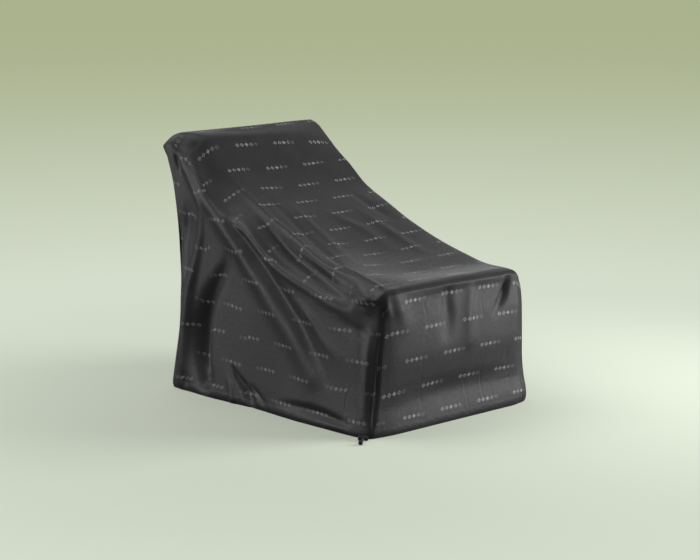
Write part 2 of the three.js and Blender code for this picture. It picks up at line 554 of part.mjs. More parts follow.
// A turned barrel with rounded ends and a waist, and a slot across it that both strands pass through.
async function stopGeometry() {
  const { toSolid, toGeometry } = await solidTools();
  const half = STOP_PROFILE.map(({ radius, along }) => new THREE.Vector2(radius, along));
  const otherHalf = half.map(({ x, y }) => new THREE.Vector2(x, -y)).reverse();
  const barrel = new THREE.LatheGeometry([...otherHalf, ...half], 20);
  const slot = new THREE.CapsuleGeometry(STOP.slot[1] / 2, STOP.slot[0] - STOP.slot[1], 4, 12);
  slot.scale(STOP.diameter, 1, 1);
  return toGeometry(toSolid(barrel).subtract(toSolid(slot)));
}

function knotGeometry() {
  const knot = new THREE.SphereGeometry(KNOT.diameter / 2, 14, 10);
  knot.scale(1, 1, KNOT.height / KNOT.diameter);
  return knot;
}

// ---- The model ----

const group = new THREE.Group();

function addPiece(name, geometry, colour, roughness) {
  const material = new THREE.MeshStandardMaterial({ color: colour, roughness, metalness: 0 });
  const mesh = new THREE.Mesh(geometry, material);
  mesh.name = name;
  group.add(mesh);
  return mesh;
}

Object.entries(coverPanels()).forEach(([name, geometry]) => addPiece(name, geometry, COLOURS.cloth, 0.55));

const routeEnd = vector(STRAND_ROUTE.at(-1));
const routeHeading = routeEnd.clone().sub(vector(STRAND_ROUTE.at(-2))).setZ(0).normalize();
addPiece('drawcord_strand_1', strandGeometry(1), COLOURS.cord, 0.8);
addPiece('drawcord_strand_2', strandGeometry(-1), COLOURS.cord, 0.8);

const stop = addPiece('cord_stop', await stopGeometry(), COLOURS.stop, 0.4);
const through = vector(STRAND_ROUTE[3]).sub(vector(STRAND_ROUTE[1]));
stop.position.set(...STOP.at, STOP.diameter / 2 + FLOOR_GAP);
stop.rotation.set(0, 0, Math.atan2(through.y, through.x));

const knot = addPiece('drawcord_knot', knotGeometry(), COLOURS.cord, 0.8);
knot.position.copy(routeEnd).addScaledVector(routeHeading, KNOT.diameter / 2 + KNOT_GAP);
knot.position.setZ(KNOT.height / 2 + FLOOR_GAP);

export default group;
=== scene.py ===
"""A fitted outdoor cover that hangs in its folds over a low sling chair, with its drawcord's free end.

The chair itself is left out, so the cover stands hollow. Three panels of coated cloth are sewn edge to
edge: one runs from the front hem over seat and back to the rear hem, and one closes each side. The tables
below are the panels' own, in millimetres; everything that is made from them is in metres.
"""

import logging
import math
from dataclasses import dataclass
from enum import Enum
from functools import reduce
from typing import NamedTuple

import bpy
import numpy as np
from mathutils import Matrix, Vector


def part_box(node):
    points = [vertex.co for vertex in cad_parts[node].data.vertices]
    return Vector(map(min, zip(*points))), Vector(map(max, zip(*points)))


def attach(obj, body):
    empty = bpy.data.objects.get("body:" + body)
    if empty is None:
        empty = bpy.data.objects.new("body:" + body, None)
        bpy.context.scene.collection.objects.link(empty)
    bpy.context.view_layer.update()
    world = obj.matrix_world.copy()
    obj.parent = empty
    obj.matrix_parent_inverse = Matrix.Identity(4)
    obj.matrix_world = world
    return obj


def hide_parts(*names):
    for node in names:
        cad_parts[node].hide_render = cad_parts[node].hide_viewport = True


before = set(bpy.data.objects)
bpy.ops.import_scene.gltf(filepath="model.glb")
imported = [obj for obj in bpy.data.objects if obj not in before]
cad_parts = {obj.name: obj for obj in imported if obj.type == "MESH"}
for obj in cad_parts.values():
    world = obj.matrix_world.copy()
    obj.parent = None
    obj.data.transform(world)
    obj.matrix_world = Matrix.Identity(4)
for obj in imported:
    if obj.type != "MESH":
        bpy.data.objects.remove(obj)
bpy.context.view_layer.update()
LOG = logging.getLogger("sling_chair_cover")
MM = 0.001

Array = np.ndarray
Object = bpy.types.Object
Material = bpy.types.Material
Socket = bpy.types.NodeSocket


# ---- Tables of the cut and the folds ----


class Section(NamedTuple):
    """One section across the centre panel, from the left seam to the right; mid is (y, z) on x = 0."""

    name: str
    left_seam: tuple
    left_edge: tuple
    mid: tuple
    right_edge: tuple
    right_seam: tuple


FRONT_CORNER = "front edge"
REAR_CORNER = "rear turn"
SECTIONS = (
    Section("front hem", (-312, -440, 0), (-232, -451, 0), (-450, 0), (242, -450, 0), (300, -440, 0)),
    Section("kick", (-306, -437, 36), (-228, -446, 38), (-445, 37), (243, -447, 36), (303, -439, 34)),
    Section("trough", (-299, -433, 78), (-222, -440, 84), (-435, 92), (243, -437, 88), (302, -432, 80)),
    Section("under the face", (-292, -433, 140), (-222, -443, 146), (-445, 150), (247, -440, 144),
            (303, -427, 138)),
    Section("face", (-288, -433, 210), (-224, -446, 218), (-450, 222), (250, -445, 216), (304, -425, 208)),
    Section("upper face", (-279, -434, 285), (-240, -444, 300), (-446, 300), (257, -444, 292),
            (304, -423, 282)),
    Section("brow", (-274, -432, 335), (-250, -441, 364), (-438, 368), (258, -438, 361), (303, -419, 330)),
    Section("under the edge", (-276, -428, 358), (-254, -440, 386), (-441, 388), (258, -438, 381),
            (302, -414, 349)),
    Section(FRONT_CORNER, (-284, -419, 376), (-255, -431, 400), (-431, 400), (254, -428, 394),
            (300, -406, 361)),
    Section("lip", (-288, -400, 376), (-255, -411, 404), (-410, 404), (251, -406, 398), (299, -388, 365)),
    Section("seat", (-293, -333, 372), (-252, -333, 421), (-328, 403), (248, -333, 402), (295, -333, 370)),
    Section("middle of the seat",
            (-298, -230, 366), (-246, -230, 440), (-228, 419), (250, -230, 423), (298, -230, 392)),
    Section("bend", (-299, -118, 394), (-232, -120, 460), (-118, 446), (252, -120, 453), (299, -120, 424)),
    Section("lower back", (-300, -8, 443), (-206, -8, 492), (-8, 487), (254, -8, 493), (300, -8, 466)),
    Section("back", (-298, 102, 512), (-190, 104, 540), (102, 534), (268, 104, 538), (303, 104, 514)),
    Section("upper back", (-298, 202, 544), (-178, 204, 586), (202, 577), (286, 204, 577), (308, 208, 552)),
    Section("neck", (-297, 282, 604), (-180, 284, 641), (282, 632), (290, 284, 636), (310, 290, 606)),
    Section("under the top", (-291, 338, 664), (-190, 340, 709), (337, 705), (290, 344, 680),
            (308, 354, 654)),
    Section("front of the top", (-289, 372, 692), (-206, 366, 747), (357, 739), (286, 388, 721),
            (304, 396, 694)),
    Section("top", (-290, 402, 712), (-236, 400, 757), (387, 751), (284, 420, 747), (301, 422, 716)),
    Section("rear edge", (-298, 438, 732), (-264, 432, 760), (420, 761), (278, 444, 758), (300, 442, 732)),
    Section(REAR_CORNER, (-302, 458, 722), (-266, 453, 748), (440, 750), (270, 452, 744), (299, 450, 718)),
    Section("upper rear", (-296, 447, 690), (-255, 452, 712), (446, 715), (262, 448, 712), (296, 444, 688)),
    Section("rear", (-288, 424, 590), (-245, 434, 598), (434, 600), (250, 434, 598), (290, 426, 590)),
    Section("middle of the rear", (-282, 406, 400), (-240, 420, 400), (422, 400), (245, 420, 400),
            (286, 412, 400)),
    Section("lower rear", (-284, 394, 200), (-240, 420, 200), (424, 200), (240, 420, 200), (286, 412, 200)),
    Section("above the rear hem", (-289, 416, 80), (-240, 430, 80), (432, 80), (240, 430, 80),
            (290, 422, 80)),
    Section("rear hem", (-292, 434, 0), (-240, 440, 0), (442, 0), (240, 440, 0), (294, 436, 0)),
)

SIDE_HEMS = {
    "left": (
        (-312, -440), (-324, -432), (-331, -412), (-335, -380), (-336, -335), (-335, -250), (-334, -160),
        (-329, -80), (-320, 41), (-324, 179), (-326, 249), (-320, 330), (-317, 395), (-309, 424), (-292, 434),
    ),
    "right": (
        (300, -440), (320, -431), (335, -410), (341, -374), (338, -300), (328, -190), (326, -60), (331, 70),
        (325, 200), (327, 300), (323, 380), (313, 422), (294, 436),
    ),
}
SHOULDERS = {"left": (9, 6), "right": (9, 9)}  # the side's swell under the seam, at the seat and at the back
SHOULDER_BELOW = 40
SHOULDER_CHANGE = (0.2, 0.7)  # where along the side the one swell turns into the other
SHOULDER_FADE = 0.12
CREASE_BANDS = {  # where pressed creases run up the cloth: x across the cover, y along it
    0: ((-116, -76), (50, 108), (126, 178), (252, 294)),
    1: ((140, 186), (10, 30), (-92, -48), (-346, -310)),
}
BAND_FADE = 8
CROWDING = 1.3
TURN_WEIGHT = 50  # millimetres of length that a bend of one radian counts for
LIP_HEIGHT, LIP_PLACE = 0.55, 2.1  # of a crease's depth and width
REACH_WIDTHS, REACH_MARGIN = 4, 20  # how far from a line the cloth is looked at


class Profile(Enum):
    """The section across a line on the cloth."""

    FOLD = "a soft ridge or trough that fades round its ends"
    CREASE = "a pressed line: a narrow dip with a low lip beside it"


@dataclass(frozen=True)
class Line:
    """A fold or crease along a path on the cloth, with half widths and heights along it, in millimetres."""

    name: str
    path: tuple
    widths: tuple
    heights: tuple
    profile: Profile = Profile.FOLD

    def push(self, points: Array, normals: Array) -> Array:
        """Measures how far the line pushes the cloth outwards.

        Args:
            points: Points on the cloth, one per line, in millimetres.
            normals: The cloth's outward normals there.

        Returns:
            The push at each point, in millimetres.
        """
        path = smooth_path(self.path)
        reach = REACH_WIDTHS * max(self.widths) + REACH_MARGIN
        near = np.all((points > path.min(axis=0) - reach) & (points < path.max(axis=0) + reach), axis=1)
        push = np.zeros(len(points))
        if not near.any():
            return push
        away, along, side = nearest_on(path, points[near], normals[near])
        width = np.interp(along, np.linspace(0, 1, len(self.widths)), self.widths)
        height = np.interp(along, np.linspace(0, 1, len(self.heights)), self.heights)
        if self.profile is Profile.FOLD:
            push[near] = height * np.exp(-((away / width) ** 2))
            return push
        fade = np.sqrt(np.clip(np.sin(math.pi * along), 0, 1))
        across = away * side / width
        push[near] = height * fade * (np.exp(-(across**2)) - LIP_HEIGHT * np.exp(-((across - LIP_PLACE) ** 2)))
        return push


def folds(*rows: tuple) -> tuple:
    """Returns soft folds from rows of name, path, half widths and heights."""
    return tuple(Line(*row) for row in rows)


def creases(*rows: tuple) -> tuple:
    """Returns pressed creases from rows of name, path, half width and depth."""
    return tuple(Line(name, path, (width,), (-depth,), Profile.CREASE) for name, path, width, depth in rows)


FOLDS = folds(
    ("corner ridge", ((-291, 377, 668), (-291, 334, 617), (-292, 298, 561), (-290, 297, 494),
     (-289, 313, 429), (-292, 333, 365), (-295, 353, 301), (-299, 360, 234), (-303, 366, 167),
     (-309, 372, 101), (-315, 377, 34)), (14, 19, 28), (4, 9, 10, 13, 16, 18, 16, 10)),
    ("turned rear", ((-287, 370, 568), (-290, 370, 419)), (18, 24), (0, -4, 0)),
    ("upright hollow", ((-299, 178, 455), (-298, 186, 402), (-299, 215, 356), (-300, 248, 312),
     (-301, 275, 265), (-302, 287, 213), (-306, 286, 159), (-313, 280, 105), (-320, 263, 54)), (14, 28, 28),
     (0, -7, -16, -27, -35, -36, -34, -28)),
    ("drape swell", ((-293, 330, 638), (-296, 291, 592), (-300, 241, 558), (-301, 197, 515), (-301, 152, 474),
     (-299, 107, 434), (-299, 65, 390), (-301, 20, 349), (-304, -24, 308), (-307, -71, 269),
     (-310, -116, 229), (-313, -158, 185), (-316, -199, 140)), (24, 26, 34, 40), (3, 9, 10, 9, 6)),
    ("deep drape", ((-291, 190, 541), (-302, 122, 491), (-301, 56, 437), (-303, -11, 383), (-305, -75, 327),
     (-308, -138, 270), (-311, -194, 206), (-315, -251, 142)), (17, 24),
     (0, -14, -18, -16, -13, -11, -8, -2)),
    ("drape ridge", ((-305, -110, 349), (-305, -180, 298), (-308, -243, 239), (-310, -314, 189)), (14, 18),
     (0, 5, 4, 0)),
    ("seam ridge", ((-273, 149, 537), (-297, 71, 494), (-301, -4, 441), (-300, -88, 403), (-298, -176, 375),
     (-300, -264, 348), (-296, -354, 329)), (14, 16), (0, 8, 9, 7, 0)),
    ("valley over the seam", ((-224, 127, 546), (-234, 61, 516), (-242, -4, 483), (-255, -70, 456),
     (-266, -138, 432), (-276, -207, 408), (-287, -275, 385), (-295, -341, 355)), (17, 20, 18),
     (0, -7, -13, -19, -22, -23, -22, -20, -14, 0)),
    ("slope ridge", ((-221, 314, 677), (-199, 270, 632), (-193, 215, 594), (-196, 156, 563), (-207, 95, 537),
     (-206, 34, 509), (-215, -28, 485), (-231, -90, 465), (-251, -151, 447), (-265, -214, 426),
     (-277, -275, 402)), (14, 13), (0, 4, 7, 8, 7, 0)),
    ("slope hollow", ((-126, 219, 597), (-133, 129, 552), (-145, 38, 513), (-166, -53, 478),
     (-195, -147, 454), (-235, -237, 439), (-269, -326, 408)), (13,), (0, -3, -5, -6, -6, -5, 0)),
    ("rail hollow", ((-256, -209, 435), (-276, -283, 403), (-292, -354, 365)), (14, 18), (0, -4, -6, 0)),
    ("rail ridge", ((-222, -157, 453), (-233, -279, 432), (-249, -399, 407)), (11, 9), (0, 4, 2)),
    ("corner swell", ((-266, -311, 414), (-273, -341, 402), (-281, -368, 386), (-288, -389, 362),
     (-289, -385, 330)), (16, 20), (0, 5, 7, 0)),
    ("hollow under the corner", ((-302, -281, 311), (-301, -323, 296), (-298, -366, 285), (-289, -409, 289)),
     (16, 20), (0, -4, -5, 0)),
    ("side of the corner seam", ((-275, -437, 347), (-283, -437, 270), (-293, -436, 193), (-299, -436, 116),
     (-312, -440, 40)), (6, 7), (-3, -6, -5)),
    ("side of the front corner", ((-287, -403, 316), (-298, -403, 232), (-307, -404, 148), (-319, -409, 64)),
     (13, 15), (0, 5, 6, 2)),
    ("skirt valley", ((-323, -56, 38), (-329, -215, 41), (-330, -373, 28)), (10, 13, 10), (0, -5, -9, -8, 0)),
    ("skirt ridge", ((-332, -272, 15), (-332, -316, 16), (-331, -359, 12)), (7, 8), (0, 4, 0)),
    ("hem dart", ((-314, 148, 114), (-316, 118, 80), (-317, 84, 52), (-317, 54, 18)), (5, 16),
     (0, -8, -12, -15, -8)),
    ("dart ridge", ((-317, 168, 87), (-319, 146, 51), (-319, 135, 10)), (8, 12), (0, 6)),
    ("second hem dart", ((-315, 64, 69), (-319, -1, 25)), (5, 9), (0, -5, -3)),
    ("pocket fold", ((-310, 311, 111), (-322, 248, 45)), (6, 7), (0, 4, 5, 0)),
    ("rear corner pocket", ((-312, 365, 72), (-315, 352, 26)), (14, 16), (0, -7)),
    ("facet hollow", ((-253, 366, 725), (-254, 322, 674), (-250, 275, 624), (-254, 224, 580)), (16, 22, 22),
     (-4, -4, 0)),
    ("top corner pocket", ((-295, 409, 690), (-292, 399, 661)), (7, 8), (-7, -5)),
    ("left corner swell", ((-269, -434, 389), (-264, -444, 356), (-256, -448, 323)), (11, 12), (3, 5, 0)),
    ("slope crest", ((-69, 169, 567), (-88, 64, 523), (-106, -42, 480), (-139, -149, 449), (-184, -254, 432)),
     (14, 16), (0, 4, 4, 0)),
    ("right slope ridge", ((134, 107, 541), (141, -52, 476), (136, -216, 426)), (18, 20), (0, 5, 0)),
    ("right slope hollow", ((194, 191, 575), (198, 84, 533), (208, -22, 490)), (16, 18), (0, -5, 0)),
    ("middle slope ridge", ((19, 115, 543), (36, 49, 514), (63, -14, 488), (63, -82, 463), (50, -151, 440)),
     (20, 22), (0, 4, 3, 0)),
    ("left front swell", ((-229, -448, 386), (-202, -452, 300)), (20, 26), (5, 8, 3)),
    ("middle front hollow", ((-27, -446, 364), (-28, -452, 312), (-36, -457, 260)), (18, 24),
     (-6, -9, -7, -4)),
    ("right front swell", ((67, -447, 358), (55, -454, 292), (53, -458, 224)), (20, 24), (4, 6, 3)),
    ("corner pocket", ((225, -447, 380), (210, -448, 340), (182, -452, 307), (151, -454, 278)), (9, 17),
     (-5, -13, -13, -8, -4, 0)),
    ("right corner ridge", ((309, 392, 650), (311, 331, 563), (308, 317, 459), (307, 328, 354),
     (309, 350, 250)), (20, 36), (4, 9, 10, 7, 3)),
    ("right deep drape", ((315, 270, 580), (315, 155, 475), (310, 45, 365), (312, -60, 250)), (18, 38),
     (0, -10, -13, 0)),
    ("right drape ridge", ((314, 330, 610), (314, 241, 502), (311, 170, 381), (316, 120, 250)), (18, 32),
     (0, 7, 8, 0)),
    ("right upright hollow", ((310, 262, 380), (315, 236, 191), (322, 240, 0)), (20, 32), (0, -10, -16)),
    ("right upright ridge", ((315, 90, 260), (322, 71, 131), (327, 76, 0)), (20, 28), (0, 9)),
    ("right hem dart", ((320, 10, 130), (323, -36, 0)), (7, 22), (0, -13)),
    ("right front drape", ((309, -300, 350), (321, -246, 179), (328, -235, 0)), (20, 34), (0, 6, 9)),
    ("right front hollow", ((310, -350, 330), (323, -335, 165), (337, -330, 0)), (16, 28), (0, -6, -9)),
    ("right low diagonal", ((310, -60, 300), (316, -154, 199), (325, -200, 70)), (24, 30), (0, -6, 0)),
    ("rear left hollow", ((-130, 289, 640), (-147, 398, 444), (-148, 438, 225), (-140, 437, 0)), (30, 44),
     (0, -9, -13)),
    ("rear middle swell", ((-20, 431, 560), (-30, 422, 280), (-10, 437, 0)), (34, 48), (0, 10)),
    ("rear right hollow", ((120, 329, 680), (139, 412, 463), (130, 436, 232), (110, 437, 0)), (26, 42),
     (0, -9, -12)),
    ("rear right swell", ((215, 428, 520), (205, 421, 260), (220, 436, 0)), (20, 32), (0, 8)),
) + creases(
    ("upper upright", ((-299, 150, 368), (-301, 158, 317), (-304, 171, 263)), 1.9, 1.5),
    ("short upright", ((-301, 14, 363), (-301, 23, 316)), 1.7, 1.0),
    ("middle upright", ((-308, -96, 248), (-309, -85, 220), (-311, -74, 184)), 2.0, 1.7),
    ("front upright", ((-313, -352, 137), (-318, -339, 104), (-325, -339, 60)), 2.0, 1.1),
    ("rear cross", ((-287, 400, 460), (-287, 345, 461)), 1.8, 1.3),
    ("left upright", ((-127, -435, 401), (-120, -448, 355), (-115, -451, 324), (-124, -457, 225)), 1.7, 0.9),
    ("low left upright", ((-133, -456, 206), (-136, -453, 161), (-132, -447, 97), (-131, -455, 19)),
     1.7, 0.8),
    ("right upright", ((105, -441, 398), (112, -446, 360), (110, -453, 304), (121, -456, 263)), 1.7, 0.9),
    ("low right upright", ((116, -454, 168), (111, -448, 124), (116, -445, 79), (120, -454, 33)), 2.0, 1.5),
    ("corner upright", ((229, -453, 194), (217, -449, 140), (229, -445, 90), (242, -454, 42)), 2.0, 1.4),
    ("hem upright", ((30, -453, 149), (49, -443, 90), (56, -453, 38), (60, -454, 9)), 1.8, 0.9),
    ("back crease", ((39, 349, 736), (40, 328, 701), (45, 308, 672), (48, 282, 641)), 2.0, 1.3),
    ("second back crease", ((35, 353, 739), (30, 330, 705), (29, 311, 676)), 1.7, 0.7),
    ("right middle upright", ((311, 60, 330), (315, 40, 230), (321, 52, 140)), 2.0, 1.4),
    ("right front upright", ((315, -180, 250), (320, -196, 150), (325, -188, 60)), 2.0, 1.4),
    ("rear left upright", ((-60, 424, 480), (-52, 422, 360), (-64, 423, 230)), 2.0, 1.4),
    ("rear right upright", ((60, 422, 300), (72, 424, 180), (62, 436, 40)), 2.0, 1.6),
)


# ---- Smooth tracks and paths ----


def smoothstep(low: float, high: float, value: Array) -> Array:
    """Returns 0 below low, 1 above high and a smooth rise between them."""
    t = np.clip((value - low) / (high - low), 0, 1)
    return t * t * (3 - 2 * t)


def unit(vectors: Array) -> Array:
    """Returns vectors at a length of 1."""
    return vectors / np.linalg.norm(vectors, axis=-1, keepdims=True)


def run(grid: Array, axis: int = 0, from_end: bool = False) -> Array:
    """Returns each point's distance along an axis of a line or grid of points, from its start or its end."""
    if from_end:
        return np.flip(run(np.flip(grid, axis), axis), axis)
    steps = np.diff(grid, axis=axis, prepend=np.take(grid, [0], axis))
    return np.cumsum(np.linalg.norm(steps, axis=-1), axis=axis)


def crowding(points: Array, axis: int) -> Array:
    """Returns how densely stops lie at points: closest in an axis's bands of pressed creases."""
    at, fade = points[:, axis], BAND_FADE
    return 1 + CROWDING * sum(
        smoothstep(a - fade, a, at) * smoothstep(-b - fade, -b, -at) for a, b in CREASE_BANDS[axis]
    )


class Track:
    """A smooth line through rows: cubic between them and flat at a peak or dip, so it never overshoots."""

    def __init__(self, at: Array, values: Array) -> None:
        """Fits the track.

        Args:
            at: The place of each row along the track, rising.
            values: The point at each row, one per line.
        """
        self.at = np.asarray(at, float)
        self.values = np.asarray(values, float)
        rate = np.diff(self.values, axis=0) / np.diff(self.at)[:, None]
        before, after = rate[:-1], rate[1:]
        product = before * after
        total = np.where(product > 0, before + after, 1.0)
        inner = np.where(product > 0, 2 * product / total, 0.0)
        self.slope = np.vstack([rate[:1], inner, rate[-1:]])

    def __call__(self, t: Array) -> Array:
        """Returns the points at the places t along the track."""
        i = np.clip(np.searchsorted(self.at, t, side="left") - 1, 0, len(self.at) - 2)
        span = (self.at[i + 1] - self.at[i])[..., None]
        f = (t - self.at[i])[..., None] / span
        g = 1 - f
        ends = self.values[i] * (1 + 2 * f) * g * g + self.values[i + 1] * (3 - 2 * f) * f * f
        return ends + span * f * g * (self.slope[i] * g - self.slope[i + 1] * f)

    def stops(self, start: float, end: float, cells: int, axis: int | None = None) -> Array:
        """Spreads stops along the track, closer together where it bends or where creases crowd them.

        Args:
            start: Where the first stop lies.
            end: Where the last stop lies.
            cells: How many cells the stops bound.
            axis: The axis whose bands of creases crowd the stops, or None.

        Returns:
            The places of the stops along the track.
        """
        fine = np.linspace(start, end, 901)
        points = self(fine)
        step = np.diff(points, axis=0)
        length = np.linalg.norm(step, axis=1)
        cosine = np.sum(step[1:] * step[:-1], axis=1) / np.maximum(length[1:] * length[:-1], 1e-12)
        turn = np.concatenate([[0.0], np.arccos(np.clip(cosine, -1, 1))])
        density = 1.0 if axis is None else crowding((points[1:] + points[:-1]) / 2, axis)
        load = np.concatenate([[0.0], np.cumsum(length * density + TURN_WEIGHT * turn)])
        return np.interp(np.linspace(0, load[-1], cells + 1), load, fine)


def smooth_path(points: tuple, count: int = 49) -> Array:
    """Rounds a short list of points into a curve through them.

    Args:
        points: The points.
        count: How many stops the curve is given.

    Returns:
        The stops, evenly divided among the stretches between the points.
    """
    line = np.array(points, float)
    ends = np.vstack([2 * line[0] - line[1], line, 2 * line[-1] - line[-2]])
    stops = []
    for t in np.linspace(0, len(line) - 1, count):
        i = min(int(t), len(line) - 2)
        w = t - i
        p0, p1, p2, p3 = ends[i : i + 4]
        d0, d1, d2 = (math.sqrt(np.linalg.norm(b - a)) for a, b in ((p0, p1), (p1, p2), (p2, p3)))
        t1 = ((p1 - p0) / d0 - (p2 - p0) / (d0 + d1) + (p2 - p1) / d1) * d1
        t2 = ((p2 - p1) / d1 - (p3 - p1) / (d1 + d2) + (p3 - p2) / d2) * d1
        stops.append(p1 + w * (t1 + w * (3 * (p2 - p1) - 2 * t1 - t2 + w * (2 * (p1 - p2) + t1 + t2))))
    return np.array(stops)


def nearest_on(stops: Array, points: Array, normals: Array) -> tuple:
    """Finds each point's nearest place on a curve, measured along the cloth.

    Args:
        stops: The curve's stops.
        points: Points on the cloth, one per line.
        normals: The cloth's outward normals there.

    Returns:
        Each point's distance, its share of the way along the curve, and its side of it as +1 or -1.
    """
    best = np.full(len(points), np.inf)
    along = np.zeros(len(points))
    gap, heading = np.zeros((2, len(points), 3))
    for i, (start, step) in enumerate(zip(stops[:-1], np.diff(stops, axis=0))):
        off = points - start
        f = np.clip(off @ step / (step @ step), 0, 1)
        off -= f[:, None] * step
        square = np.einsum("ij,ij->i", off, off)
        near = square < best
        best[near] = square[near]
        along[near] = ((i + f) / (len(stops) - 1))[near]
        gap[near] = off[near]
        heading[near] = step
    out = np.einsum("ij,ij->i", gap, normals)
    away = np.sqrt(np.maximum(best - out**2, 0))
    side = np.where(np.einsum("ij,ij->i", np.cross(gap, heading), normals) > 0, 1.0, -1.0)
    return away, along, side


# ---- The cover's cloth as grids of points ----


@dataclass
class Panel:
    """One panel of cloth: a grid of points in its middle, in millimetres, and which way it turns."""

    name: str
    grid: Array
    turn: int

    def normals(self) -> Array:
        """Returns the outward normals of the grid."""
        return unit(np.cross(np.gradient(self.grid, axis=0), np.gradient(self.grid, axis=1)) * self.turn)

    def flat_cloth(self) -> Array:
        """Unrolls the panel for its weave and print.

        Returns:
            Each point's place on the flat cloth, in metres.
        """
        if self.name == "centre":
            middle = [self.grid.shape[1] // 2]
            across, up = run(self.grid, 1), run(self.grid, 0)
            across -= across[:, middle]
            up = np.broadcast_to(up[:, middle], across.shape)
        else:
            across, up = run(self.grid[..., :2], 1), run(self.grid[..., ::2], 0)
            zero = np.argmin(np.abs(self.grid[..., 1]), axis=1)
            across = (across - np.take_along_axis(across, zero[:, None], axis=1)) * self.turn
        return np.stack([across, up], axis=-1) * MM

    def hem_distance(self) -> Array:
        """Returns each point's distance from the panel's nearest hem, in metres."""
        nearest = run(self.grid, 0)
        if self.name == "centre":
            nearest = np.minimum(nearest, run(self.grid, 0, from_end=True))
        return nearest * MM

    def seam_distance(self) -> Array:
        """Returns each point's distance from the panel's nearest sewn edge, in metres."""
        nearest = np.minimum(run(self.grid, 1), run(self.grid, 1, from_end=True))
        if self.name != "centre":
            nearest = np.minimum(nearest, run(self.grid, 0, from_end=True))
        return nearest * MM


